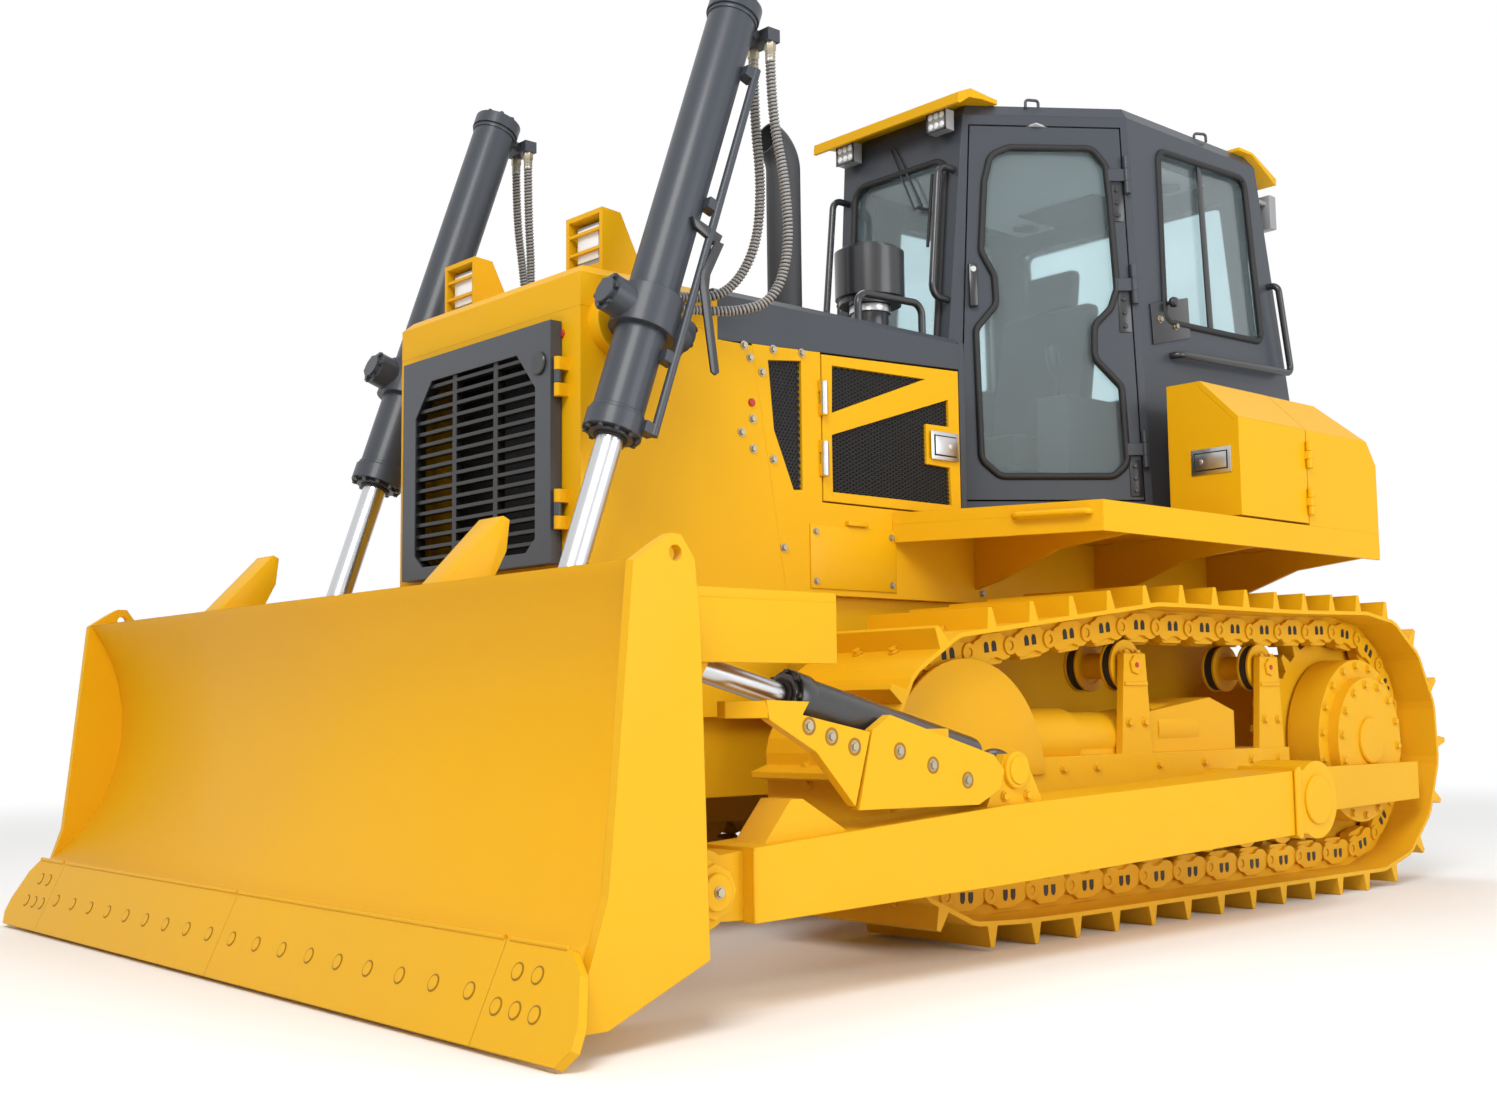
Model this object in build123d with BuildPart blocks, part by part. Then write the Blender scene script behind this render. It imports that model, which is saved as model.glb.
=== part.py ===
"""Crawler bulldozer with a straight tilting blade. Millimetres, Z up, the blade faces -Y, left is +X."""
from build123d import *
import os
from math import cos, hypot, pi, radians, sin, tan

os.makedirs("parts", exist_ok=True)

# Tracks
TRACK_X = 940
SHOE_WIDTH = 510
LINK_COUNT = 36
PIN_HEIGHT = 135
SHOE_SEAT = 57
SHOE_THICK = 15
RAIL_DEPTH = 57
SPROCKET = (1755, 575)
SPROCKET_RADIUS = 440
IDLER = (-640, 515)
IDLER_RADIUS = 370
CARRIERS = [(298, 862), (1162, 862)]
CARRIER_RADIUS = 82
ROLLER_RADIUS = 95
ROLLERS_Y = [-250, 5, 260, 515, 770, 1025, 1280]

# Hull, hood and platform
HULL_X = 480
HOOD_X = 520
HOOD_WALL = 30
GUARD_FRONT = -1650
DECK_TOP = 1400
DECK_X = 1210
DECK_REAR = 1812

# Cab corners (x, y): front, middle and rear post at the floor, middle and rear post at the roof
CAB_FLOOR = DECK_TOP
CAB_ROOF = 3050
CAB_CROWN = 48
CAB_WALL = 45
CAB_LOW = [(279, 193), (784, 879), (784, 2046)]
CAB_HIGH = [(720, 880), (720, 1818)]
CAB_TAPER = 0.78
TANK_X = 760
TANK_TOP = 1930
TANK_REAR = 2020

# Blade and its linkage
TRUNNION = (760, 395)
ARM_X = TRACK_X + 440
ARM_PIN = (-1969, 300)
BLADE_X = ARM_X + 205
LIFT_X = 680
GIMBAL = (-1527, 1886)
LIFT_EYE = (-2019, 480)
TILT_PIN = (-830, 545)
TILT_EYE = (-2010, 845)
PIN_GAP = 0.3


def side_plate(points, x0, x1, mode=Mode.ADD):
    """Plate with a side outline of (y, z) points, from x0 to x1."""
    with BuildSketch(Plane.YZ.offset(x0)) as outline:
        with BuildLine():
            Polyline(*points, close=True)
        make_face()
    extrude(outline.sketch, amount=x1 - x0, mode=mode)


def plan_plate(points, z0, z1, mode=Mode.ADD):
    """Plate with a plan outline of (x, y) points, from z0 to z1."""
    with BuildSketch(Plane.XY.offset(z0)) as outline:
        with BuildLine():
            Polyline(*points, close=True)
        make_face()
    extrude(outline.sketch, amount=z1 - z0, mode=mode)


def front_plate(points, y0, y1, mode=Mode.ADD):
    """Plate with a front outline of (x, z) points, from y0 to y1."""
    with BuildSketch(Plane.XZ.offset(-y0)) as outline:
        with BuildLine():
            Polyline(*points, close=True)
        make_face()
    extrude(outline.sketch, amount=y0 - y1, mode=mode)


def block(x0, x1, y0, y1, z0, z1, mode=Mode.ADD):
    """Box between two corners."""
    with Locations(((x0 + x1) / 2, (y0 + y1) / 2, (z0 + z1) / 2)):
        Box(x1 - x0, y1 - y0, z1 - z0, mode=mode)


def bar(start, end, radius, mode=Mode.ADD):
    """Round bar between two points."""
    line = Vector(*end) - Vector(*start)
    with BuildSketch(Plane(origin=start, z_dir=line)) as outline:
        Circle(radius)
    extrude(outline.sketch, amount=line.length, mode=mode)


def disc(y, z, radius, x0, x1, mode=Mode.ADD):
    """Round piece across the machine."""
    bar((x0, y, z), (x1, y, z), radius, mode)


def mirrored(part):
    """The same piece on the other side of the machine."""
    return mirror(part, about=Plane.YZ)


def save(part, name):
    part.label = name
    export_step(part, f"parts/{name}.step")


def hinge_pin(x, y, spans, reach):
    """Fixed half of an upright hinge: a pin with a leaf that reaches into the frame, per span of z."""
    for z0, z1 in spans:
        third = (z1 - z0) / 3
        bar((x, y, z0), (x, y, z1), 7)
        for low in (z0, z1 - third):
            bar((x, y, low), (x, y, low + third), 12)
            block(min(x, reach[0]), max(x, reach[0]), min(y, reach[1]), max(y, reach[1]), low, low + third)


def hinge_knuckle(x, y, spans, reach):
    """Moving half of an upright hinge, turning on the pin."""
    for z0, z1 in spans:
        third = (z1 - z0) / 3
        low, high = z0 + third + 1, z1 - third - 1
        bar((x, y, low), (x, y, high), 12)
        block(min(x, reach[0]), max(x, reach[0]), min(y, reach[1]), max(y, reach[1]), low, high)
        bar((x, y, low), (x, y, high), 7 + PIN_GAP, Mode.SUBTRACT)


# Track path: pin positions of one loop, counted from the foot of the sprocket
def track_pins():
    top = [(SPROCKET[0], SPROCKET[1] + SPROCKET_RADIUS)]
    top += [(y, z + CARRIER_RADIUS + RAIL_DEPTH + 1) for y, z in reversed(CARRIERS)]
    top += [(IDLER[0], IDLER[1] + IDLER_RADIUS)]
    path = []
    steps = 60
    for i in range(steps + 1):
        turn = -pi / 2 + pi * i / steps
        path.append((SPROCKET[0] + SPROCKET_RADIUS * cos(turn), SPROCKET[1] + SPROCKET_RADIUS * sin(turn)))
    path += top[1:-1]
    for i in range(steps + 1):
        turn = pi / 2 + pi * i / steps
        path.append((IDLER[0] + IDLER_RADIUS * cos(turn), IDLER[1] + IDLER_RADIUS * sin(turn)))
    path.append((IDLER[0] + 220, PIN_HEIGHT))
    path.append(path[0])
    lengths = [0]
    for a, b in zip(path, path[1:]):
        lengths.append(lengths[-1] + hypot(b[0] - a[0], b[1] - a[1]))
    pins = []
    for i in range(LINK_COUNT):
        along = lengths[-1] * i / LINK_COUNT
        k = max(j for j in range(len(path) - 1) if lengths[j] <= along)
        t = (along - lengths[k]) / (lengths[k + 1] - lengths[k])
        pins.append(tuple(path[k][n] + t * (path[k + 1][n] - path[k][n]) for n in (0, 1)))
    return pins


def link_points(profile):
    """Points of a (along, outward) link profile laid on every link of the loop."""
    pins = track_pins()
    laid = []
    for a, b in zip(pins, pins[1:] + pins[:1]):
        length = hypot(b[0] - a[0], b[1] - a[1])
        ty, tz = (b[0] - a[0]) / length, (b[1] - a[1]) / length
        my, mz = (a[0] + b[0]) / 2, (a[1] + b[1]) / 2
        laid += [(my + ty * s + tz * n, mz + tz * s - ty * n) for s, n in profile]
    return laid


TIP = PIN_HEIGHT
PLATE = SHOE_SEAT + SHOE_THICK
SHOE_OUTSIDE = [(-98, PLATE), (-62, PLATE), (-46, TIP), (-28, TIP), (-16, PLATE), (98, PLATE)]
SHOE_INSIDE = [(-98, SHOE_SEAT), (98, SHOE_SEAT)]
LINK_OUTSIDE = [(-98, SHOE_SEAT + 1), (98, SHOE_SEAT + 1)]
LINK_INSIDE = [(-78, -RAIL_DEPTH + 26), (-52, -RAIL_DEPTH), (52, -RAIL_DEPTH), (78, -RAIL_DEPTH + 26)]

with BuildPart() as track_left:
    side_plate(link_points(SHOE_OUTSIDE), TRACK_X - SHOE_WIDTH / 2, TRACK_X + SHOE_WIDTH / 2)
    side_plate(link_points(SHOE_INSIDE), TRACK_X - SHOE_WIDTH / 2, TRACK_X + SHOE_WIDTH / 2, Mode.SUBTRACT)
    for rail in (TRACK_X - 95, TRACK_X + 55):
        with BuildSketch(Plane.YZ.offset(rail)) as rail_outline:
            with BuildLine():
                Polyline(*link_points(LINK_OUTSIDE), close=True)
            make_face()
            with BuildLine():
                Polyline(*link_points(LINK_INSIDE), close=True)
            make_face(mode=Mode.SUBTRACT)
        extrude(rail_outline.sketch, amount=40)

# Track frame with the roller plates, the idler yoke, the carrier posts and the arm trunnion
FRAME_IN = (TRACK_X - 140, TRACK_X - 105)
FRAME_OUT = (TRACK_X + 105, TRACK_X + 140)
SKIRT_X = TRACK_X + 220
with BuildPart() as track_frame_left:
    block(FRAME_IN[0], FRAME_OUT[1], -330, 1280, 400, 560)
    for inner, outer in (FRAME_IN, FRAME_OUT):
        side_plate([(-300, 410), (-270, 262), (1300, 262), (1325, 410)], inner, outer)
        side_plate([(-330, 560), (-640, 585), (-640, 445), (-330, 420)], inner, outer)
        disc(IDLER[0], IDLER[1], 72, inner, outer)
    side_plate([(-330, 500), (-330, 700), (-420, 815), (-540, 862), (-690, 862), (-800, 790), (-850, 660),
                (-850, 500)], FRAME_OUT[1], FRAME_OUT[1] + 12)
    side_plate([(-330, 555), (-330, 650), (140, 625), (330, 690), (800, 750), (960, 700), (960, 555)],
               FRAME_IN[1], FRAME_OUT[0])
    for y, z in CARRIERS:
        side_plate([(y - 90, 555), (y - 62, z + 40), (y + 62, z + 40), (y + 90, 555)],
                   TRACK_X + 112, TRACK_X + 138)
    block(FRAME_OUT[1], SKIRT_X, 1142, 1322, 330, 470)
    side_plate([(1142, 314), (1142, 484), (2065, 484), (2065, 335)], SKIRT_X, SKIRT_X + 38)
    disc(*TRUNNION, 100, FRAME_OUT[1], ARM_X - 130)
    disc(*TRUNNION, 60, FRAME_OUT[1], ARM_X + 96)
    block(HULL_X, FRAME_IN[0], 480, 760, 430, 540)

with BuildPart() as rollers:
    for y in ROLLERS_Y:
        z = PIN_HEIGHT + RAIL_DEPTH + ROLLER_RADIUS + PIN_GAP
        disc(y, z, ROLLER_RADIUS, TRACK_X - 98, TRACK_X - 50)
        disc(y, z, ROLLER_RADIUS, TRACK_X + 50, TRACK_X + 98)
        disc(y, z, 62, FRAME_IN[1], FRAME_OUT[0])
    for y, z in CARRIERS:
        disc(y, z, CARRIER_RADIUS, TRACK_X - 98, TRACK_X - 50)
        disc(y, z, CARRIER_RADIUS, TRACK_X + 50, TRACK_X + 98)
        disc(y, z, 45, TRACK_X - 98, TRACK_X + 112)
    mirror(about=Plane.YZ)

with BuildPart() as rollers_idlers:
    add(rollers.part)
    disc(*IDLER, 286, TRACK_X - 98, TRACK_X + 98)
    disc(*IDLER, 306, TRACK_X - 48, TRACK_X + 48)
    for x in (TRACK_X - 98, TRACK_X + 70):
        disc(*IDLER, 235, x, x + 28, Mode.SUBTRACT)
    disc(*IDLER, 110, FRAME_IN[1], FRAME_OUT[0])
    mirror(about=Plane.YZ)

TOOTH_COUNT = 27
with BuildPart() as sprockets:
    with BuildSketch(Plane.YZ.offset(TRACK_X - 35)) as sprocket_outline:
        with BuildLine():
            teeth = []
            for i in range(TOOTH_COUNT):
                for part_turn, radius in ((-0.28, 405), (-0.1, 462), (0.1, 462), (0.28, 405)):
                    turn = 2 * pi * (i + part_turn) / TOOTH_COUNT
                    teeth.append((SPROCKET[0] + radius * cos(turn), SPROCKET[1] + radius * sin(turn)))
            Polyline(*teeth, close=True)
        make_face()
    extrude(sprocket_outline.sketch, amount=70)
    disc(*SPROCKET, 150 + PIN_GAP, TRACK_X - 35, TRACK_X + 35, Mode.SUBTRACT)
    mirror(about=Plane.YZ)

with BuildPart() as final_drives:
    disc(*SPROCKET, 260, HULL_X, TRACK_X - 45)
    disc(*SPROCKET, 150, TRACK_X - 45, TRACK_X + 45)
    disc(*SPROCKET, 322, TRACK_X + 45, SKIRT_X - 42)
    disc(*SPROCKET, 250, SKIRT_X - 42, SKIRT_X)
    mirror(about=Plane.YZ)

# Hull, drawbar and engine
with BuildPart() as main_frame:
    side_plate([(-1560, 520), (-1450, 450), (1500, 450), (1860, 640), (1860, 1300), (1800, 1360), (205, 1360),
                (205, 1100), (-824, 1100), (-824, 700), (-1560, 700)], -HULL_X, HULL_X)

with BuildPart() as drawbar:
    block(-190, 190, 1860, 1900, 560, 900)
    for z in (640, 770):
        side_plate([(1900, z), (2545, z), (2545, z + 50), (1900, z + 50)], -110, 110)
        with Locations((0, 2440, z + 25)):
            Cylinder(32, 50, mode=Mode.SUBTRACT)
    block(-110, 110, 1900, 2180, 690, 770)

with BuildPart() as engine:
    block(-300, 300, -1150, -100, 1100, 1780)

# Radiator guard, core and the hood
with BuildPart() as radiator_guard:
    side_plate([(GUARD_FRONT, 700), (GUARD_FRONT, 1930), (-1110, 1930), (-1110, 1903), (-962, 1903),
                (-873, 1403), (-824, 1117), (-824, 700)], -HOOD_X, HOOD_X)
    block(-HOOD_X + 50, HOOD_X - 50, GUARD_FRONT + 50, -800, 740, 1940, Mode.SUBTRACT)
    block(-400, 400, GUARD_FRONT - 5, GUARD_FRONT + 60, 1180, 1860, Mode.SUBTRACT)
    for side in (-1, 1):
        disc(*GIMBAL, 95, side * HOOD_X, side * (HOOD_X + 52))
        disc(*GIMBAL, 45 + PIN_GAP, side * HOOD_X, side * (HOOD_X + 53), Mode.SUBTRACT)
    hinge_pin(448, GUARD_FRONT - 30, [(1260, 1380), (1660, 1780)], (460, GUARD_FRONT))

with BuildPart() as radiator_core:
    block(-HOOD_X + 50, HOOD_X - 50, -1480, -1330, 740, 1890)

with BuildPart() as grille_door:
    block(-430, 430, GUARD_FRONT - 45, GUARD_FRONT - 5, 1160, 1895)
    front_plate([(-350, 1240), (-350, 1700), (-250, 1815), (250, 1815), (350, 1700), (350, 1240), (300, 1200),
                 (-300, 1200)], GUARD_FRONT - 50, GUARD_FRONT, Mode.SUBTRACT)
    for i in range(16):
        z = 1222 + 38 * i
        block(-352, 352, GUARD_FRONT - 36, GUARD_FRONT - 12, z, z + 12)
    for x in (-120, 120):
        block(x - 12, x + 12, GUARD_FRONT - 36, GUARD_FRONT - 8, 1190, 1825)
    hinge_knuckle(448, GUARD_FRONT - 30, [(1260, 1380), (1660, 1780)], (425, GUARD_FRONT - 24))

HOSE_BLOCK_X = HOOD_X + 65
HOSE_END = -1350
with BuildPart() as hood_cap:
    block(-HOOD_X, HOOD_X, GUARD_FRONT, -1110, 1930, 2062)
    chamfer(hood_cap.faces().sort_by(Axis.Z)[-1].edges(), 28)
    block(HOOD_X - 5, HOSE_BLOCK_X, HOSE_END - 50, HOSE_END, 1945, 2026)
    block(-HOSE_BLOCK_X, 5 - HOOD_X, HOSE_END - 50, HOSE_END, 1945, 2026)
    block(-HOOD_X + 50, HOOD_X - 50, GUARD_FRONT + 50, -1110, 1930, 2030, Mode.SUBTRACT)

with BuildPart() as hood_top:
    side_plate([(-1110, 1903), (-1110, 2075), (60, 2075), (60, 1958)], -HOOD_X, HOOD_X)
    chamfer(hood_top.faces().sort_by(Axis.Z)[-1].edges().filter_by(Axis.Y), 22)
    block(-HOOD_X + 20, HOOD_X - 20, -1110, 60, 1890, 2050, Mode.SUBTRACT)

with BuildPart() as firewall:
    block(-HOOD_X, HOOD_X, 60, 90, 1360, 2060)
    block(-270, 270, 90, 190, 1405, 2000)

MESH_DEPTH = 22
FRONT_OPENING = [(-892, 1865), (-742, 1882), (-742, 1447), (-783, 1443), (-869, 1635)]
with BuildPart() as side_panels:
    side_plate([(-962, 1903), (-873, 1403), (-824, 1117), (-824, 1100), (205, 1100), (205, 1360), (60, 1360),
                (60, 1412), (-652, 1412), (-652, 1923.8), (-962, 1909.7)], HOOD_X - HOOD_WALL, HOOD_X)
    side_plate(FRONT_OPENING, HOOD_X - MESH_DEPTH, HOOD_X, Mode.SUBTRACT)
    block(HULL_X, HOOD_X - HOOD_WALL, -820, 200, 1100, 1112)
    hinge_pin(HOOD_X + 12, -649, [(1499, 1621), (1706, 1826)], (HOOD_X - 2, -664))
    mirror(about=Plane.YZ)

DOOR_OPENINGS = [
    [(-596, 1886), (-125, 1899), (-600, 1722)],
    [(-602, 1646), (-4, 1838), (-2, 1738), (-126, 1736), (-126, 1591), (-2, 1588), (4, 1451), (-601, 1451)],
]
with BuildPart() as engine_door_left:
    side_plate([(-646, 1418), (-646, 1918), (54, 1950), (54, 1418)], HOOD_X - HOOD_WALL, HOOD_X)
    for opening in DOOR_OPENINGS:
        side_plate(opening, HOOD_X - MESH_DEPTH, HOOD_X, Mode.SUBTRACT)
    block(HOOD_X - 5, HOOD_X + 8, -70, 20, 1625, 1700)
    hinge_knuckle(HOOD_X + 12, -649, [(1499, 1621), (1706, 1826)], (HOOD_X - 2, -634))

# Lamps, exhaust and air intake on the hood
LAMP_X = 362
with BuildPart() as headlamps:
    side_plate([(-1521, 2062), (-1521, 2272), (-1450, 2266), (-1345, 2062)], LAMP_X - 95, LAMP_X + 95)
    side_plate([(-1530, 2100), (-1530, 2256), (-1462, 2252), (-1400, 2140), (-1400, 2100)],
               LAMP_X - 80, LAMP_X + 80, Mode.SUBTRACT)
    for z in (2145, 2205):
        block(LAMP_X - 82, LAMP_X + 82, -1519, -1509, z, z + 10)
    mirror(about=Plane.YZ)

EXHAUST = (150, -464)
with BuildPart() as exhaust_stack:
    with BuildLine(Plane.YZ.offset(EXHAUST[0])):
        Line((EXHAUST[1], 2110), (EXHAUST[1], 2690))
        JernArc(start=(EXHAUST[1], 2690), tangent=(0, 1), radius=110, arc_size=75)
    with BuildSketch(Plane.XY.offset(2110)):
        with Locations(EXHAUST):
            Circle(63)
            Circle(57, mode=Mode.SUBTRACT)
    sweep()
    bar((*EXHAUST, 2075), (*EXHAUST, 2110), 95)

PRECLEANER = (200, -69)
with BuildPart() as air_precleaner:
    for z0, z1, radius in ((2075, 2235, 70), (2235, 2260, 118), (2260, 2440, 132), (2440, 2458, 105)):
        bar((*PRECLEANER, z0), (*PRECLEANER, z1), radius)

# Platform with fenders and side compartments
with BuildPart() as platform:
    deck = [(DECK_X, -37), (DECK_X, DECK_REAR), (TANK_X, DECK_REAR), (TANK_X, TANK_REAR), (-TANK_X, TANK_REAR),
            (-TANK_X, DECK_REAR), (-DECK_X, DECK_REAR), (-DECK_X, -37), (-HOOD_X, -313), (-HOOD_X, 205),
            (HOOD_X, 205), (HOOD_X, -313)]
    plan_plate(deck, 1360, DECK_TOP)
    for side in (-1, 1):
        block(min(side * 1198, side * DECK_X), max(side * 1198, side * DECK_X), -37, DECK_REAR, 1296, 1362)
        plan_plate([(side * DECK_X, -37), (side * (HOOD_X + 1), -312), (side * (HOOD_X + 1), -299),
                    (side * DECK_X, -24)], 1296, 1362)
        for y in (120, 900, 1700):
            root = HOOD_X if y < 205 else HULL_X
            front_plate([(side * root, 1150), (side * 640, 1180), (side * 900, 1270), (side * 1200, 1300),
                         (side * 1200, 1361), (side * root, 1361)], y, y + 20)

BOX_LOW = 1400
with BuildPart() as side_tanks:
    block(905, DECK_X, 1276, DECK_REAR, BOX_LOW, 1925)
    plan_plate([(905, 1276), (DECK_X, 1276), (DECK_X, DECK_REAR), (905, DECK_REAR)], BOX_LOW, 1500)
    side_plate([(1613, 1940), (1900, 1940), (1900, 1560), (1812, 1679)], 900, DECK_X + 10, Mode.SUBTRACT)
    front_plate([(1050, 1930), (DECK_X + 5, 1930), (DECK_X + 5, 1765)], 1270, 1900, Mode.SUBTRACT)
    block(905, 1150, 850, 1276, BOX_LOW, 1420)
    block(905, 925, 850, 1276, BOX_LOW, 1925)
    block(905, 1014, 850, 1276, 1897, 1925)
    hinge_pin(DECK_X + 12, 1273, [(1440, 1540), (1620, 1720)], (DECK_X - 2, 1290))
    mirror(about=Plane.YZ)

with BuildPart() as box_door_left:
    block(910, DECK_X, 802, 1270, 1408, 1925)
    front_plate([(1050, 1930), (DECK_X + 5, 1930), (DECK_X + 5, 1765)], 790, 1280, Mode.SUBTRACT)
    block(900, DECK_X - 28, 830, 1280, 1400, 1897, Mode.SUBTRACT)
    block(900, 1020, 845, 1280, 1400, 1940, Mode.SUBTRACT)
    hinge_knuckle(DECK_X + 12, 1273, [(1440, 1540), (1620, 1720)], (DECK_X - 2, 1258))

with BuildPart() as fuel_tank:
    side_plate([(1500, DECK_TOP), (1500, TANK_TOP), (1850, TANK_TOP), (TANK_REAR, 1740), (TANK_REAR, DECK_TOP)],
               -TANK_X, TANK_X)


# Cab: a six-sided shell of straight walls, opened for the doors and the windows
front_post = tuple(CAB_HIGH[0][k] - CAB_TAPER * (CAB_LOW[1][k] - CAB_LOW[0][k]) for k in (0, 1))
CAB_POSTS = list(zip(CAB_LOW, [front_post] + CAB_HIGH))


def cab_point(post, z):
    """Point on the outer edge of a left post at a height."""
    low, high = CAB_POSTS[post]
    t = (z - CAB_FLOOR) / (CAB_ROOF - CAB_FLOOR)
    return (low[0] + t * (high[0] - low[0]), low[1] + t * (high[1] - low[1]), z)


def cab_outline(z, inset):
    """Plan outline of the cab at a height, moved in from the outer faces."""
    left = [cab_point(post, z)[:2] for post in (0, 1, 2)]
    with BuildSketch(Plane.XY.offset(z)) as outline:
        with BuildLine():
            Polyline(*left, *[(-x, y) for x, y in reversed(left)], close=True)
        make_face()
        if inset:
            offset(amount=-inset, kind=Kind.INTERSECTION, mode=Mode.REPLACE)
    return outline.sketch


door_origin = Vector(*cab_point(0, CAB_FLOOR))
door_along = (Vector(*cab_point(1, CAB_FLOOR)) - door_origin).normalized()
door_normal = door_along.cross(Vector(*cab_point(1, CAB_ROOF)) - door_origin).normalized()
DOOR_PLANE = Plane(origin=door_origin, x_dir=door_along, z_dir=door_normal)
DOOR_GAP = 6
DOOR_FOOT = 112
DOOR_TOP = CAB_ROOF - CAB_FLOOR - 45
DOOR_EDGE = [(92, DOOR_FOOT), (815, DOOR_FOOT), (781, DOOR_TOP), (178, DOOR_TOP)]
WINDOW_DRAWN = 1493
window_rise = (DOOR_TOP - DOOR_FOOT) / WINDOW_DRAWN
DOOR_WINDOW = [(x, DOOR_FOOT + height * window_rise) for x, height in [
    (255, 1371), (330, 1406), (665, 1409), (720, 1339), (728, 1222), (744, 840), (714, 757), (646, 690),
    (641, 560), (745, 447), (755, 140), (701, 92), (252, 91), (180, 155), (175, 669), (259, 768),
    (255, 882), (205, 980), (227, 1262)]]
GLASS_DEPTH = 18
GLASS = 8
PIN_OUT = 14
hinge_foot = DOOR_PLANE.from_local_coords(Vector(DOOR_EDGE[1][0] + PIN_OUT, DOOR_EDGE[1][1], PIN_OUT))
hinge_head = DOOR_PLANE.from_local_coords(Vector(DOOR_EDGE[2][0] + PIN_OUT, DOOR_EDGE[2][1], PIN_OUT))
hinge_line = hinge_head - hinge_foot
HINGE_PLANE = Plane(origin=hinge_foot, x_dir=door_normal.cross(hinge_line), z_dir=hinge_line)
CAB_HINGES = [(125, 269), (DOOR_TOP - 830, DOOR_TOP - 673), (DOOR_TOP - 382, DOOR_TOP - 230)]


def hinge_ring(z0, z1, radius, mode=Mode.ADD):
    """Round piece on the left door's hinge line."""
    with BuildSketch(HINGE_PLANE.offset(z0)) as outline:
        Circle(radius)
    extrude(outline.sketch, amount=z1 - z0, mode=mode)


def hinge_leaf(x0, x1, y0, y1, z0, z1):
    """Leaf beside the left door's hinge line: x towards the door, y outward."""
    with BuildSketch(HINGE_PLANE.offset(z0)) as outline:
        with Locations(((x0 + x1) / 2, (y0 + y1) / 2)):
            Rectangle(x1 - x0, y1 - y0)
    extrude(outline.sketch, amount=z1 - z0)


def door_slab(points, depth, thick, grow=0, mode=Mode.ADD):
    """Slab in the left door's plane, from a depth behind its outer face."""
    with BuildSketch(DOOR_PLANE.offset(-depth)) as outline:
        with BuildLine():
            Polyline(*points, close=True)
        make_face()
        if grow:
            offset(amount=grow, kind=Kind.INTERSECTION, mode=Mode.REPLACE)
    extrude(outline.sketch, amount=-thick, mode=mode)


with BuildPart() as cab_door_left:
    door_slab(DOOR_EDGE, 0, CAB_WALL)
    door_slab(DOOR_WINDOW, -5, CAB_WALL + 10, mode=Mode.SUBTRACT)
    for z0, z1 in CAB_HINGES:
        low, high = z0 + (z1 - z0) / 3 + 1, z1 - (z1 - z0) / 3 - 1
        hinge_ring(low, high, 12)
        hinge_leaf(0, 75, -8, 2, low, high)
        hinge_leaf(24, 75, -PIN_OUT - 2, -7, low, high)
        hinge_ring(low, high, 7 + PIN_GAP, Mode.SUBTRACT)

with BuildPart() as door_glass_left:
    door_slab(DOOR_WINDOW, GLASS_DEPTH, GLASS)

SILL = CAB_FLOOR + 870
LINTEL = CAB_ROOF - 88
SIDE_WINDOW = [(1045, SILL), (1075, LINTEL - 27), (1105, LINTEL), (1690, LINTEL + 16), (1722, LINTEL - 12),
               (1762, SILL + 20), (1740, SILL - 8), (1070, SILL - 24)]
FRONT_SILL = CAB_FLOOR + 710
FRONT_LINTEL = CAB_ROOF - 165
front_right = [(-205, FRONT_SILL), (-240, FRONT_SILL + 35), (-250, FRONT_LINTEL - 35), (-215, FRONT_LINTEL)]
FRONT_WINDOW = front_right + [(-x, z) for x, z in reversed(front_right)]
REAR_SILL = CAB_FLOOR + 750
REAR_LINTEL = CAB_ROOF - 120
REAR_WINDOW = [(-560, REAR_SILL), (-550, REAR_LINTEL), (550, REAR_LINTEL), (560, REAR_SILL)]
with BuildPart() as window_cores:
    side_plate(SIDE_WINDOW, 600, 850)
    side_plate(SIDE_WINDOW, -850, -600)
    front_plate(FRONT_WINDOW, 150, 430)
    front_plate(REAR_WINDOW, 1740, 2100)

with BuildPart() as cab_frame:
    loft([cab_outline(CAB_FLOOR, 0), cab_outline(CAB_ROOF, 0)], ruled=True)
    loft([cab_outline(CAB_FLOOR + 40, CAB_WALL), cab_outline(CAB_ROOF, CAB_WALL)], ruled=True, mode=Mode.SUBTRACT)
    block(-900, 900, 1495, 2100, CAB_FLOOR - 1, TANK_TOP, Mode.SUBTRACT)
    block(-740, 740, 1450, 1495, CAB_FLOOR, TANK_TOP + 45)
    block(-735, 735, 1450, 1940, TANK_TOP, TANK_TOP + 45)
    door_slab(DOOR_EDGE, -20, 130, grow=DOOR_GAP, mode=Mode.SUBTRACT)
    add(window_cores.part, mode=Mode.SUBTRACT)
    for z0, z1 in CAB_HINGES:
        third = (z1 - z0) / 3
        hinge_ring(z0, z1, 7)
        for low in (z0, z1 - third):
            hinge_ring(low, low + third, 12)
            hinge_leaf(-11, 0, -PIN_OUT - 2, 0, low, low + third)
    split(bisect_by=Plane.YZ, keep=Keep.TOP)
    mirror(about=Plane.YZ)

with BuildPart() as cab_glass:
    loft([cab_outline(CAB_FLOOR, GLASS_DEPTH), cab_outline(CAB_ROOF, GLASS_DEPTH)], ruled=True)
    loft([cab_outline(CAB_FLOOR, GLASS_DEPTH + GLASS), cab_outline(CAB_ROOF, GLASS_DEPTH + GLASS)], ruled=True,
         mode=Mode.SUBTRACT)
    add(window_cores.part, mode=Mode.INTERSECT)

ROOF_TOP = CAB_ROOF + CAB_CROWN
with BuildPart() as cab_roof:
    loft([cab_outline(CAB_ROOF, 0), cab_outline(ROOF_TOP, 28)], ruled=True)

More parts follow.
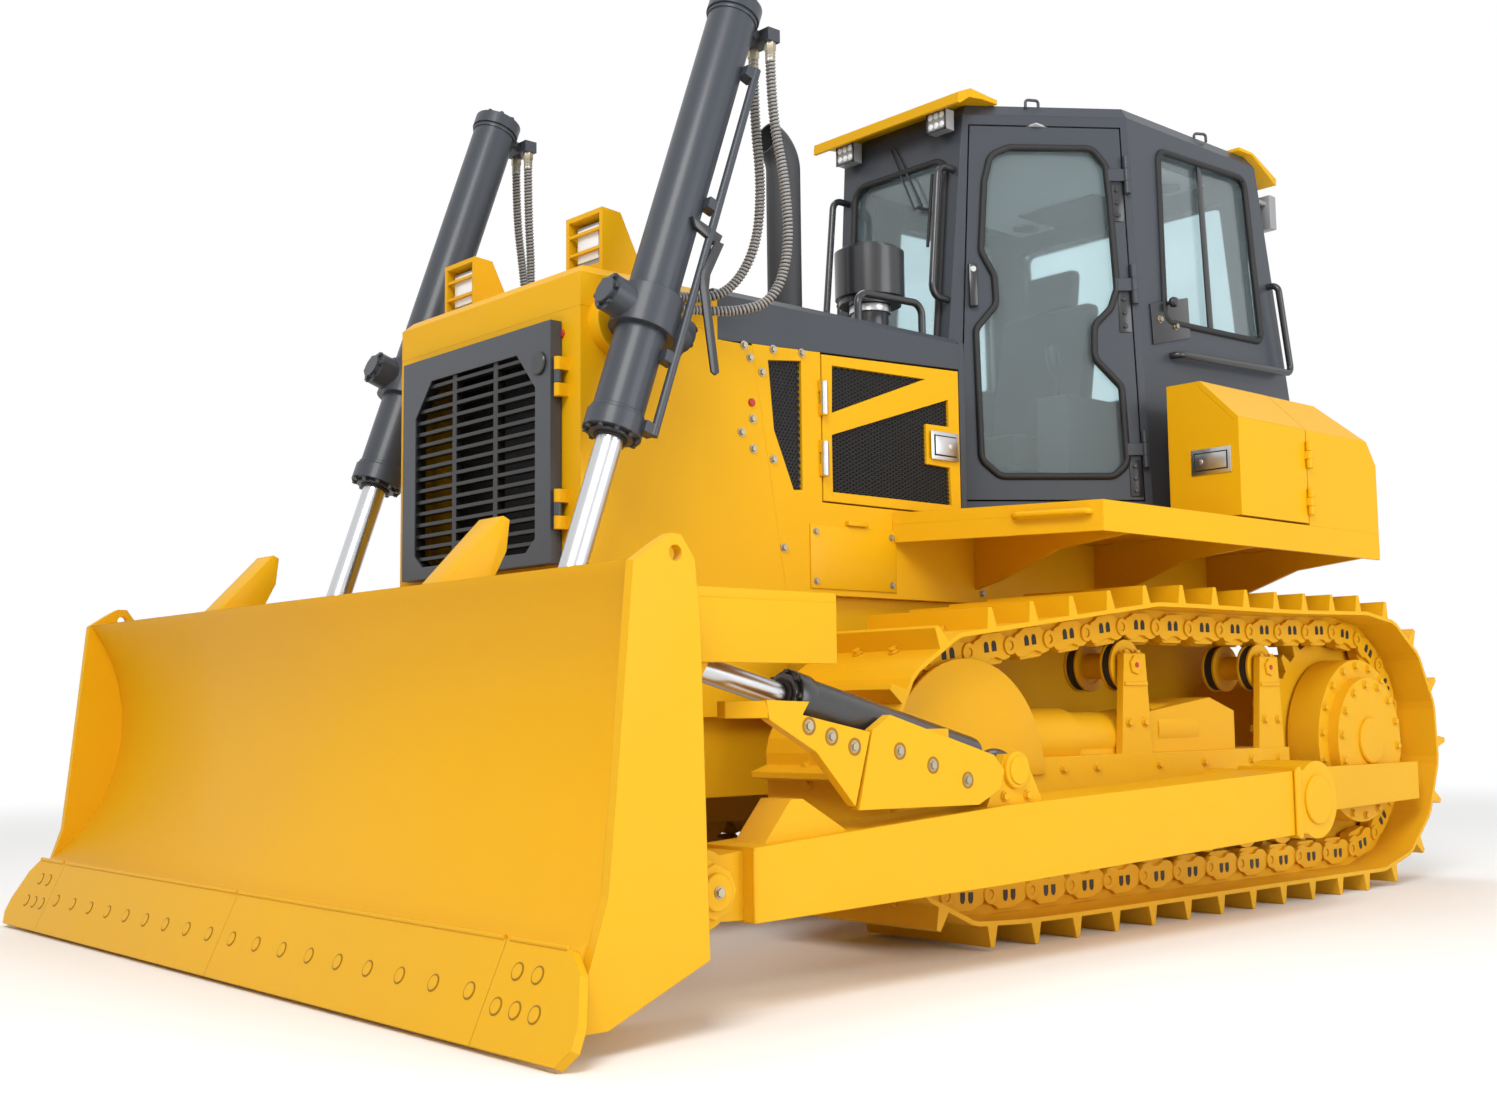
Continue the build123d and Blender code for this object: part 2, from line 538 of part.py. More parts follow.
with BuildPart() as cab_visors:
    seat = ROOF_TOP + PIN_GAP
    side_plate([(232, CAB_ROOF + 2), (236, ROOF_TOP - 4), (310, ROOF_TOP + 28), (470, ROOF_TOP + 18), (470, seat),
                (379, seat), (300, ROOF_TOP - 10), (246, CAB_ROOF + 2)], -400, 400)
    side_plate([(1660, seat), (1660, ROOF_TOP + 20), (1800, ROOF_TOP + 16), (1988, CAB_ROOF - 18),
                (1988, CAB_ROOF - 50), (1975, CAB_ROOF - 50), (1790, seat)], -500, 500)

with BuildPart() as lamps:
    for side in (-1, 1):
        block(side * LAMP_X - 72, side * LAMP_X + 72, -1440, -1400, 2108, 2248 - 110)
        block(side * 253 - 48, side * 253 + 48, 272, 322, CAB_ROOF - 65, CAB_ROOF + 16)
        block(side * 253 - 12, side * 253 + 12, 283, 289, CAB_ROOF + 16, CAB_ROOF + 26.5)


def rail(points, radius=14, bend=45):
    """Bent round rail through the given points."""
    with BuildLine() as run:
        FilletPolyline(*points, radius=bend)
    line = Vector(*points[1]) - Vector(*points[0])
    with BuildSketch(Plane(origin=points[0], z_dir=line)) as section:
        Circle(radius)
    sweep(section.sketch, path=run.wire())


with BuildPart() as grab_rails:
    rail([(290, 332, 2830), (290, 235, 2830), (290, 180, 2300), (290, 284, 2300)])
    rail([(750, 1075, 2108), (798, 1075, 2108), (798, 1915, 2140), (790, 1850, 2520), (734, 1850, 2520)], bend=30)
    add(cab_frame.part, mode=Mode.SUBTRACT)
    mirror(about=Plane.YZ)
    rail([(380, -320, 2075.3), (380, -320, 2215), (380, 20, 2225), (380, 20, 2075.3)])

with BuildPart() as operator_seat:
    block(-220, 220, 820, 1200, 1440, 1690)
    block(-260, 260, 700, 1240, 1690, 1830)
    back_top = CAB_ROOF - 590
    side_plate([(1120, 1830), (1230, 1830), (1340, back_top), (1250, back_top)], -240, 240)
    side_plate([(1262, back_top), (1338, back_top), (1362, back_top + 180), (1290, back_top + 180)], -130, 130)

with BuildPart() as consoles:
    for side in (-1, 1):
        block(side * 400 - 75, side * 400 + 75, 760, 1240, 1440, 1960)
    block(-230, 230, 310, 420, 1440, 2060)


# Push arm, blade and tilt linkage
BALL = 60
LEFT_PLAY = 7
BALL_EAR = 45
BALL_SEAT = (BALL ** 2 - BALL_EAR ** 2) ** 0.5 + PIN_GAP


def push_arm(seat):
    """Box-section arm of the left side, from its trunnion cap to the eye that holds the blade's ball."""
    side_plate([(-1840, 215), (-1840, 393), (-886, 451), (640, 498), (640, 284), (-886, 236)],
               ARM_X - 100, ARM_X + 100)
    disc(*TRUNNION, 132, ARM_X - 100, ARM_X + 100)
    block(ARM_X - 100, ARM_X + 100, 620, TRUNNION[0], 284, 498)
    side_plate([(ARM_PIN[0], 225), (ARM_PIN[0], 375), (-1835, 385), (-1835, 220)], ARM_X - 60, ARM_X + 60)
    disc(*ARM_PIN, 95, ARM_X - 60, ARM_X + 60)
    disc(*ARM_PIN, seat, ARM_X - 61, ARM_X + 61, Mode.SUBTRACT)
    block(ARM_X - 112, ARM_X + 112, 612, 640, 272, 510)
    side_plate([(-1790, 385), (-1690, 500), (-1650, 500), (-1480, 405)], ARM_X - 40, ARM_X + 70)
    disc(*TRUNNION, 60 + PIN_GAP, ARM_X - 113, ARM_X + 113, Mode.SUBTRACT)
    for x in (ARM_X - BALL_EAR - 30, ARM_X + BALL_EAR):
        side_plate([(TILT_PIN[0] - 130, 440), (TILT_PIN[0] - 40, TILT_PIN[1] + 45),
                    (TILT_PIN[0] + 40, TILT_PIN[1] + 45), (TILT_PIN[0] + 130, 440)], x, x + 30)
    disc(*TILT_PIN, BALL_SEAT, ARM_X - 76, ARM_X + 76, Mode.SUBTRACT)


with BuildPart() as push_arm_left:
    push_arm(BALL + LEFT_PLAY)

with BuildPart() as push_arm_right:
    push_arm(BALL + PIN_GAP)
    mirror(about=Plane.YZ, mode=Mode.REPLACE)

EDGE_FOOT = (-2545, 12.5)
EDGE_LEAN = radians(24.3)
EDGE_THICK = 25
EDGE_HEIGHT = 236


def edge_point(along, depth):
    """Point of the cutting edge's section, up its face and into its thickness."""
    return (EDGE_FOOT[0] + along * sin(EDGE_LEAN) + depth * cos(EDGE_LEAN),
            EDGE_FOOT[1] + along * cos(EDGE_LEAN) - depth * sin(EDGE_LEAN))


MOLDBOARD = [edge_point(55, EDGE_THICK), edge_point(EDGE_HEIGHT + 4, EDGE_THICK), (-2360, 340), (-2312, 460),
             (-2282, 580), (-2268, 700), (-2266, 820), (-2274, 940), (-2286, 1040), (-2296, 1118),
             (-2262, 1118), (-2140, 1062), (-2112, 900), (-2228, 850),
             (-2236, 700), (-2252, 580), (-2272, 500), (-2105, 470), (-2092, 171), (-2395, 62), (-2470, 47)]
ROD_GUARD_X = ARM_X + 120
ROD_GUARD = [(-1571, 833), (-1571, 1010), (-2131, 1010), (-2112, 900), (-2100, 833)]
with BuildPart() as moldboard:
    side_plate(MOLDBOARD, -BLADE_X, BLADE_X)
    for side in (-1, 1):
        for x in (ARM_X - 100, ARM_X + 75):
            side_plate([(-2110, 190), (-2110, 430), (-1990, 380), (-1915, 345), (-1895, 300), (-1915, 255),
                        (-1990, 220)], side * x, side * (x + 25))
        for x in (LIFT_X - 105, LIFT_X + 80):
            side_plate([(-2110, 400), (-2255, 480), (-2240, 640), (-2110, 560), (-2019, 540), (-1965, 510),
                        (-1958, 480), (-1965, 450), (-2019, 418)], side * x, side * (x + 25))
        for x in (ARM_X - 80, ARM_X + 55):
            side_plate([(-2255, 870), (-2130, 980), (-1990, 902), (-1952, 845), (-1990, 788), (-2090, 790),
                        (-2240, 760)], side * x, side * (x + 25))
    side_plate(ROD_GUARD, ROD_GUARD_X - 28, ROD_GUARD_X)
    side_plate([(-1571, 986), (-1571, 1010), (-2131, 1010), (-2126, 986)], ARM_X - 50, ROD_GUARD_X)

with BuildPart() as blade_fins:
    side_plate([(-2262, 1105), (-2063, 1246), (-2055, 1225), (-2135, 1050)], LIFT_X - 60, LIFT_X + 60)
    side_plate(MOLDBOARD, LIFT_X - 61, LIFT_X + 61, Mode.SUBTRACT)
    mirror(about=Plane.YZ)

with BuildPart() as blade_pins:
    with BuildSketch(Plane((ARM_X, *ARM_PIN))) as pin_profile:
        with BuildLine():
            neck = (BALL ** 2 - 35 ** 2) ** 0.5
            Polyline((neck, 35), (75, 35), (75, 0), (-75, 0), (-75, 35), (-neck, 35))
            ThreePointArc((-neck, 35), (0, BALL), (neck, 35))
        make_face()
    revolve(pin_profile.sketch, axis=Axis((ARM_X, *ARM_PIN), (1, 0, 0)))
    mirror(about=Plane.YZ)

with BuildPart() as end_plates:
    for side in (-1, 1):
        side_plate([(-2303, 1048), (-2240, 1090), (-2200, 1113), (-2168, 1113), (-2127, 1058), (-2113, 923),
                    (-2092, 171), (-2374, 55), (-2480, 55), (-2420, 190), (-2373, 330), (-2351, 543)],
                   side * BLADE_X, side * (BLADE_X + 27))
        disc(-2184, 1070, 18, side * BLADE_X, side * (BLADE_X + 27), Mode.SUBTRACT)

EDGE_PLANE = Plane(origin=(0, *EDGE_FOOT), x_dir=(1, 0, 0), z_dir=(0, -cos(EDGE_LEAN), sin(EDGE_LEAN)))
BIT_X = BLADE_X - 239
with BuildPart() as cutting_edges:
    for side in (-1, 1):
        lengths = [(1, 0), (BIT_X - 2, 0), (BIT_X - 2, EDGE_HEIGHT), (1, EDGE_HEIGHT)]
        bit = [(BIT_X, 0), (BLADE_X + 75, 0), (BLADE_X + 109, 40), (BLADE_X + 105, 90), (BLADE_X + 55, 190),
               (BLADE_X - 1, EDGE_HEIGHT), (BIT_X, EDGE_HEIGHT)]
        for points in (lengths, bit):
            with BuildSketch(EDGE_PLANE) as edge_outline:
                with BuildLine():
                    Polyline(*[(side * x, along) for x, along in points], close=True)
                make_face()
            extrude(edge_outline.sketch, amount=-EDGE_THICK)

# Tilt cylinder on the left arm and the fixed brace on the right one
tilt_line = Vector(0, TILT_EYE[0] - TILT_PIN[0], TILT_EYE[1] - TILT_PIN[1])
TILT_LENGTH = tilt_line.length
tilt_dir = tilt_line.normalized()


def tilt_point(along, side=1):
    return (side * ARM_X, TILT_PIN[0] + tilt_dir.Y * along, TILT_PIN[1] + tilt_dir.Z * along)


with BuildPart() as tilt_barrel:
    with Locations(tilt_point(0)):
        Sphere(BALL)
    bar(tilt_point(0), tilt_point(150), 34)
    bar(tilt_point(130), tilt_point(840), 66)
    bar(tilt_point(180), tilt_point(790), 52, Mode.SUBTRACT)
    bar(tilt_point(780), tilt_point(850), 32 + PIN_GAP, Mode.SUBTRACT)

GUARD_X = ARM_X + 78
with BuildPart() as tilt_guards:
    side_plate([(-1366, 704), (-954, 590), (-913, 548), (-928, 498), (-1023, 458), (-1487, 465), (-1434, 666)],
               GUARD_X, GUARD_X + 28)
    block(ARM_X + 15, GUARD_X, -1230, -1110, 600, 665)
    side_plate([(-1800, 744), (-1656, 739), (-1680, 707), (-1442, 661), (-1500, 475), (-1635, 615), (-1791, 696)],
               GUARD_X, GUARD_X + 28)
    plan_plate([(GUARD_X + 28, -1795), (GUARD_X, -1795), (ARM_X + 5, -1870), (ARM_X + 33, -1870)], 700, 742)
    block(ARM_X + 5, GUARD_X, -1600, -1540, 655, 685)
    bar(tilt_point(130), tilt_point(840), 66, Mode.SUBTRACT)

with BuildPart() as tilt_rod:
    bar(tilt_point(700), tilt_point(TILT_LENGTH), 32)
    disc(*TILT_EYE, 52, ARM_X - 40, ARM_X + 40)

with BuildPart() as right_brace:
    with Locations(tilt_point(0, -1)):
        Sphere(BALL)
    bar(tilt_point(0, -1), tilt_point(300, -1), 36)
    bar(tilt_point(260, -1), tilt_point(900, -1), 60)
    bar(tilt_point(880, -1), tilt_point(TILT_LENGTH, -1), 36)
    disc(*TILT_EYE, 52, -ARM_X - 40, -ARM_X + 40)

# Lift cylinders
lift_line = Vector(0, GIMBAL[0] - LIFT_EYE[0], GIMBAL[1] - LIFT_EYE[1])
LIFT_LENGTH = lift_line.length
LIFT_PLANE = Plane(origin=(LIFT_X, *GIMBAL), x_dir=(1, 0, 0), z_dir=lift_line)
LIFT_TOP = 1117
LIFT_FOOT = -391


def lift_tube(z0, z1, radius, x=0, y=0, mode=Mode.ADD):
    """Round piece along the lift cylinder, measured from its gimbal."""
    with BuildSketch(LIFT_PLANE.offset(z0)) as outline:
        with Locations((x, y)):
            Circle(radius)
    extrude(outline.sketch, amount=z1 - z0, mode=mode)


MANIFOLD = (-1075, -1025, 2838, 2880)
with BuildPart() as lift_barrel_left:
    lift_tube(LIFT_FOOT, LIFT_TOP, 77)
    lift_tube(LIFT_FOOT, LIFT_FOOT + 55, 88)
    lift_tube(LIFT_TOP - 45, LIFT_TOP, 86)
    bar((LIFT_X, -1168, 2900), (LIFT_X, -1050, 2860), 18)
    block(LIFT_X - 60, LIFT_X + 60, *MANIFOLD)
    lift_tube(LIFT_FOOT + 20, 900, 13, 85, 85)
    for z in (LIFT_FOOT + 20, -140, 380, 860):
        with BuildSketch(LIFT_PLANE.offset(z)) as clamp:
            with Locations((68, 68)):
                Rectangle(44, 44)
        extrude(clamp.sketch, amount=35)
    lift_tube(LIFT_FOOT + 60, LIFT_TOP - 40, 62, mode=Mode.SUBTRACT)
    lift_tube(LIFT_FOOT - 1, LIFT_FOOT + 70, 40 + PIN_GAP, mode=Mode.SUBTRACT)

CAP_PLANE = Plane(origin=(LIFT_X, *GIMBAL), x_dir=(1, 0, 0), z_dir=LIFT_PLANE.y_dir)
with BuildPart() as lift_yoke_left:
    lift_tube(-62, 62, 100)
    for reach, radius in ((150, 58), (165, 40)):
        with BuildSketch(CAP_PLANE.offset(-reach)) as cap:
            Circle(radius)
        extrude(cap.sketch, amount=2 * reach)
    disc(*GIMBAL, 45, HOOD_X + 5, LIFT_X - 79)
    lift_tube(-110, 110, 77, mode=Mode.SUBTRACT)

with BuildPart() as lift_rod_left:
    lift_tube(-LIFT_LENGTH, -LIFT_LENGTH + 1624, 40)
    disc(*LIFT_EYE, 62, LIFT_X - 45, LIFT_X + 45)

# Hoses from the lift cylinders' manifolds to the blocks on the hood cap's sides
HOSE_RADIUS = 15
HOSE_TOP = MANIFOLD[2] - PIN_GAP
HOSE_STOP = HOSE_END + PIN_GAP
HOSE_A = [(640, -1050, HOSE_TOP), (640, -1050, 2620), (648, -1028, 2390), (638, -1045, 2180), (600, -1130, 2030),
          (545, -1250, 2005), (545, HOSE_STOP, 2005)]
HOSE_B = [(720, -1050, HOSE_TOP), (720, -1050, 2620), (735, -1005, 2390), (728, -985, 2160), (690, -1020, 2010),
          (640, -1120, 1968), (565, -1250, 1965), (565, HOSE_STOP, 1965)]


def hose(points):
    """Slack hose with an arc as large as its runs allow at each point of its route."""
    route = [Vector(*point) for point in points]
    radii = []
    for before, corner, after in zip(route, route[1:], route[2:]):
        run = min((corner - before).length, (after - corner).length)
        turn = radians((corner - before).get_angle(after - corner))
        radii.append(0.45 * run / tan(turn / 2))
    with BuildLine() as run_line:
        FilletPolyline(*points, radius=radii)
    with BuildSketch(Plane(origin=points[0], z_dir=route[1] - route[0])) as section:
        Circle(HOSE_RADIUS)
    sweep(section.sketch, path=run_line.wire())


with BuildPart() as lift_hose_a_left:
    hose(HOSE_A)

with BuildPart() as lift_hose_b_left:
    hose(HOSE_B)

for name, piece in (
    ("main_frame", main_frame.part),
    ("drawbar", drawbar.part),
    ("engine", engine.part),
    ("radiator_guard", radiator_guard.part),
    ("radiator_core", radiator_core.part),
    ("grille_door", grille_door.part),
    ("hood_cap", hood_cap.part),
    ("hood_top", hood_top.part),
    ("firewall", firewall.part),
    ("headlamps", headlamps.part),
    ("lamps", lamps.part),
    ("exhaust_stack", exhaust_stack.part),
    ("air_precleaner", air_precleaner.part),
    ("platform", platform.part),
    ("fuel_tank", fuel_tank.part),
    ("cab_frame", cab_frame.part),
    ("cab_roof", cab_roof.part),
    ("cab_glass", cab_glass.part),
    ("cab_visors", cab_visors.part),
    ("grab_rails", grab_rails.part),
    ("operator_seat", operator_seat.part),
    ("consoles", consoles.part),
    ("moldboard", moldboard.part),
    ("blade_pins", blade_pins.part),
    ("blade_fins", blade_fins.part),
    ("end_plates", end_plates.part),
    ("cutting_edges", cutting_edges.part),
    ("tilt_barrel", tilt_barrel.part),
    ("tilt_guards", tilt_guards.part),
    ("tilt_rod", tilt_rod.part),
    ("right_brace", right_brace.part),
    ("push_arm_left", push_arm_left.part),
    ("push_arm_right", push_arm_right.part),
    ("side_tanks", side_tanks.part),
    ("side_panels", side_panels.part),
    ("final_drives", final_drives.part),
    ("sprockets", sprockets.part),
    ("rollers_idlers", rollers_idlers.part),
):
    save(piece, name)

for name, piece in (
    ("track", track_left.part),
    ("track_frame", track_frame_left.part),
    ("engine_door", engine_door_left.part),
    ("box_door", box_door_left.part),
    ("cab_door", cab_door_left.part),
    ("door_glass", door_glass_left.part),
    ("lift_barrel", lift_barrel_left.part),
    ("lift_yoke", lift_yoke_left.part),
    ("lift_rod", lift_rod_left.part),
    ("lift_hose_a", lift_hose_a_left.part),
    ("lift_hose_b", lift_hose_b_left.part),
):
    save(piece, f"{name}_left")
    save(mirrored(piece), f"{name}_right")
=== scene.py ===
import math
import bmesh
import bpy
from mathutils import Matrix, Vector


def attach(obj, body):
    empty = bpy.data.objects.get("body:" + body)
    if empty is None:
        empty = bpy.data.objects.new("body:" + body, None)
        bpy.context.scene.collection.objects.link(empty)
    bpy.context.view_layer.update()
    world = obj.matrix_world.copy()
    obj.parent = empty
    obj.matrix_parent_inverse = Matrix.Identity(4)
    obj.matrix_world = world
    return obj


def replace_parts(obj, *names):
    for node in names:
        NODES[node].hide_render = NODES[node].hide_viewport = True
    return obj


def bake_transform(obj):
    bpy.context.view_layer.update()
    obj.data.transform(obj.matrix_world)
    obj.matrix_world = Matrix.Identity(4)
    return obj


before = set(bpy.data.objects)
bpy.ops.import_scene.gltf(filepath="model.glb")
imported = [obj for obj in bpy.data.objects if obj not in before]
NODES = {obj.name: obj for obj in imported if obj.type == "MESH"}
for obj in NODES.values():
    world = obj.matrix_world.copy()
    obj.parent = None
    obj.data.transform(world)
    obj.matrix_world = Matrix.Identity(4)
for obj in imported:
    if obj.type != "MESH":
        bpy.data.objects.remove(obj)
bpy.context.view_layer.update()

MM = 0.001
SIDES = (("left", 1), ("right", -1))
SHARP_ANGLE = math.radians(35)
SAME_SPOT = 1e-7


def mm(*point):
    return Vector(point) * MM


# Node trees
def feed(tree, node, inputs):
    """Sets a node's inputs, each to a value or to the socket that feeds it."""
    for label, value in inputs.items():
        if isinstance(value, bpy.types.NodeSocket):
            tree.links.new(value, node.inputs[label])
        else:
            node.inputs[label].default_value = value
    return node


def add_node(tree, kind, inputs=None, **settings):
    node = tree.nodes.new(kind)
    for label, value in settings.items():
        setattr(node, label, value)
    return feed(tree, node, inputs or {})


def add_socket(tree, label, way, kind, default=None):
    socket = tree.interface.new_socket(label, in_out=way, socket_type=kind)
    if default is not None:
        socket.default_value = default


def worked_out(tree, operation, first, second=0.0):
    """The result of a sum on two values or sockets."""
    return add_node(tree, "ShaderNodeMath", {0: first, 1: second}, operation=operation).outputs["Value"]


def blended(tree, factor, first, second):
    """A colour between two colours."""
    mix = add_node(tree, "ShaderNodeMix", {"Factor": factor, "A": first, "B": second}, data_type="RGBA")
    return mix.outputs["Result"]


def object_place(tree):
    return add_node(tree, "ShaderNodeTexCoord").outputs["Object"]


def new_material(name):
    material = bpy.data.materials.new(name)
    material.use_nodes = True
    return material, material.node_tree, material.node_tree.nodes["Principled BSDF"]


# Studio
CAMERA_PLACE = (4.435, -4.496, 0.716)
CAMERA_AZIMUTH = 48.13
CAMERA_ELEVATION = -5.73
CAMERA_ROLL = -0.64
CAMERA_LENS = 39.6
SENSOR_WIDTH = 36
WHITE = (1, 1, 1, 1)
DOME_LOW, DOME_HIGH = (0.38, 0.36, 0.33, 1), WHITE
DOME_STRENGTH = 0.62
FLOOR_SIZE, FLOOR_HEIGHT = 160, -0.001
FADE_START, FADE_END = 4.5, 11


def make_camera():
    camera = bpy.data.objects.new("camera", bpy.data.cameras.new("camera"))
    bpy.context.scene.collection.objects.link(camera)
    camera.data.lens = CAMERA_LENS
    camera.data.sensor_width = SENSOR_WIDTH
    camera.data.clip_end = 300
    azimuth, elevation = math.radians(CAMERA_AZIMUTH), math.radians(CAMERA_ELEVATION)
    back = Vector((math.sin(azimuth) * math.cos(elevation), -math.cos(azimuth) * math.cos(elevation),
                   math.sin(elevation)))
    right = (-back).cross(Vector((0, 0, 1))).normalized()
    up = right.cross(-back)
    roll = math.radians(CAMERA_ROLL)
    level = math.cos(roll) * right + math.sin(roll) * up
    upright = -math.sin(roll) * right + math.cos(roll) * up
    turn = Matrix((level, upright, back)).transposed()
    camera.matrix_world = Matrix.Translation(CAMERA_PLACE) @ turn.to_4x4()
    bpy.context.scene.camera = camera


def area_light(name, place, target, size, power, colour=(1, 1, 1)):
    light = bpy.data.lights.new(name, "AREA")
    light.shape = "DISK"
    light.size = size
    light.energy = power
    light.color = colour
    lamp = bpy.data.objects.new(name, light)
    lamp.location = place
    lamp.rotation_euler = (Vector(target) - Vector(place)).to_track_quat("-Z", "Y").to_euler()
    bpy.context.scene.collection.objects.link(lamp)


def seen_rays(tree):
    """1 for rays from the camera, through glass or off a gloss, and 0 for the rest."""
    path = add_node(tree, "ShaderNodeLightPath").outputs
    seen = path["Is Camera Ray"]
    for ray in ("Is Transmission Ray", "Is Glossy Ray"):
        seen = worked_out(tree, "MAXIMUM", seen, path[ray])
    return seen


def make_world():
    """White where it is seen; a dome that darkens towards the ground where it only lights."""
    world = bpy.data.worlds.new("studio")
    bpy.context.scene.world = world
    world.use_nodes = True
    tree = world.node_tree
    tree.nodes.clear()
    coord = add_node(tree, "ShaderNodeTexCoord")
    split = add_node(tree, "ShaderNodeSeparateXYZ", {"Vector": coord.outputs["Generated"]})
    height = add_node(tree, "ShaderNodeMapRange", {"Value": split.outputs["Z"], "From Min": -1, "From Max": 1})
    ramp = add_node(tree, "ShaderNodeValToRGB", {"Fac": height.outputs["Result"]})
    for stop, position, colour in zip(ramp.color_ramp.elements, (0.42, 0.85), (DOME_LOW, DOME_HIGH)):
        stop.position = position
        stop.color = colour
    dome = add_node(tree, "ShaderNodeBackground", {"Color": ramp.outputs["Color"], "Strength": DOME_STRENGTH})
    seen = add_node(tree, "ShaderNodeBackground", {"Color": WHITE, "Strength": 1.0})
    mix = add_node(tree, "ShaderNodeMixShader", {
        "Fac": seen_rays(tree), 1: dome.outputs["Background"], 2: seen.outputs["Background"]})
    add_node(tree, "ShaderNodeOutputWorld", {"Surface": mix.outputs["Shader"]})


def make_floor():
    """Pale floor that fades to plain white away from the machine."""
    bpy.ops.mesh.primitive_plane_add(size=FLOOR_SIZE, location=(0, 0, FLOOR_HEIGHT))
    floor = bpy.context.object
    floor.name = "studio_floor"
    material, tree, shader = new_material("studio_white")
    feed(tree, shader, {"Base Color": (0.9, 0.9, 0.9, 1), "Roughness": 0.9, "Specular IOR Level": 0.0})
    reach = add_node(tree, "ShaderNodeVectorMath", {0: object_place(tree)}, operation="LENGTH")
    fade = add_node(tree, "ShaderNodeMapRange", {
        "Value": reach.outputs["Value"], "From Min": FADE_START, "From Max": FADE_END}, interpolation_type="SMOOTHSTEP")
    share = worked_out(tree, "MULTIPLY", fade.outputs["Result"], seen_rays(tree))
    white = add_node(tree, "ShaderNodeEmission", {"Color": WHITE})
    mix = add_node(tree, "ShaderNodeMixShader", {
        "Fac": share, 1: shader.outputs["BSDF"], 2: white.outputs["Emission"]})
    feed(tree, tree.nodes["Material Output"], {"Surface": mix.outputs["Shader"]})
    floor.data.materials.append(material)


make_camera()
make_world()
make_floor()
area_light("key", (5.5, -7.5, 8.0), (0, -0.5, 1.2), 5.0, 720, (1.0, 0.985, 0.96))
area_light("fill", (9.0, 1.2, 2.6), (0, 0.6, 0.8), 6.0, 330, (0.96, 0.98, 1.0))
area_light("crown", (-3.0, 2.0, 9.0), (0, 0, 1.5), 6.0, 270)
bpy.context.scene.view_settings.view_transform = "Standard"


# Finishes
def weathering_group():
    """Broad tone, fine grain and dust that settles low down, all from a position."""
    tree = bpy.data.node_groups.new("paint_weathering", "ShaderNodeTree")
    add_socket(tree, "Vector", "INPUT", "NodeSocketVector")
    for label, default in (("Broad Scale", 1.4), ("Grain Scale", 260.0), ("Dust Height", 1.2)):
        add_socket(tree, label, "INPUT", "NodeSocketFloat", default)
    for label in ("Tone", "Grain", "Dust"):
        add_socket(tree, label, "OUTPUT", "NodeSocketFloat")
    enter = add_node(tree, "NodeGroupInput").outputs

    def noise(**inputs):
        inputs["Vector"] = enter["Vector"]
        return add_node(tree, "ShaderNodeTexNoise", inputs).outputs["Fac"]

    split = add_node(tree, "ShaderNodeSeparateXYZ", {"Vector": enter["Vector"]})
    low = add_node(tree, "ShaderNodeMapRange", {
        "Value": split.outputs["Z"], "From Min": enter["Dust Height"], "From Max": 0})
    patches = noise(Scale=9, Detail=6, Roughness=0.7)
    add_node(tree, "NodeGroupOutput", {
        "Tone": noise(Scale=enter["Broad Scale"], Detail=4), "Grain": noise(Scale=enter["Grain Scale"], Detail=2),
        "Dust": worked_out(tree, "MULTIPLY", low.outputs["Result"], patches)})
    return tree


WEATHERING = weathering_group()
DUST_COLOUR = (0.42, 0.36, 0.28, 1)


def shaded(colour, factor):
    return tuple(min(1.0, channel * factor) for channel in colour[:3]) + (1,)


def finish(name, colour, roughness=0.4, metallic=0.0, coat=0.0, tone=0.08, bump=0.03, grain=260.0, dust=0.25,
           edge=0.004, specular=0.5):
    """Painted, plated or moulded surface with tone changes, dust low down, grain and softened edges."""
    material, tree, shader = new_material(name)
    wear = add_node(tree, "ShaderNodeGroup", {"Vector": object_place(tree), "Grain Scale": grain},
                    node_tree=WEATHERING).outputs
    paint = blended(tree, wear["Tone"], shaded(colour, 1 - tone), shaded(colour, 1 + tone))
    dusted = blended(tree, worked_out(tree, "MULTIPLY", wear["Dust"], dust), paint, DUST_COLOUR)
    gloss = add_node(tree, "ShaderNodeMapRange", {
        "Value": wear["Tone"], "To Min": max(0.02, roughness - 0.07), "To Max": min(1.0, roughness + 0.1)})
    peel = add_node(tree, "ShaderNodeBump", {"Strength": bump, "Distance": 0.001, "Height": wear["Grain"]})
    if edge:
        soft = add_node(tree, "ShaderNodeBevel", {"Radius": edge}, samples=4)
        feed(tree, peel, {"Normal": soft.outputs["Normal"]})
    feed(tree, shader, {
        "Base Color": dusted, "Roughness": gloss.outputs["Result"], "Normal": peel.outputs["Normal"],
        "Metallic": metallic, "Coat Weight": coat, "Coat Roughness": 0.12, "Specular IOR Level": specular})
    return material


def glazing(name, colour, roughness=0.02, weight=0.92):
    """Tinted glass with a faint uneven film."""
    material, tree, shader = new_material(name)
    smear = add_node(tree, "ShaderNodeTexNoise", {"Vector": object_place(tree), "Scale": 2.5, "Detail": 5})
    smear = smear.outputs["Fac"]
    film = add_node(tree, "ShaderNodeMapRange", {"Value": smear, "To Min": roughness, "To Max": roughness + 0.06})
    feed(tree, shader, {
        "Base Color": blended(tree, smear, shaded(colour, 0.94), shaded(colour, 1.05)),
        "Roughness": film.outputs["Result"], "Transmission Weight": weight, "IOR": 1.45})
    return material


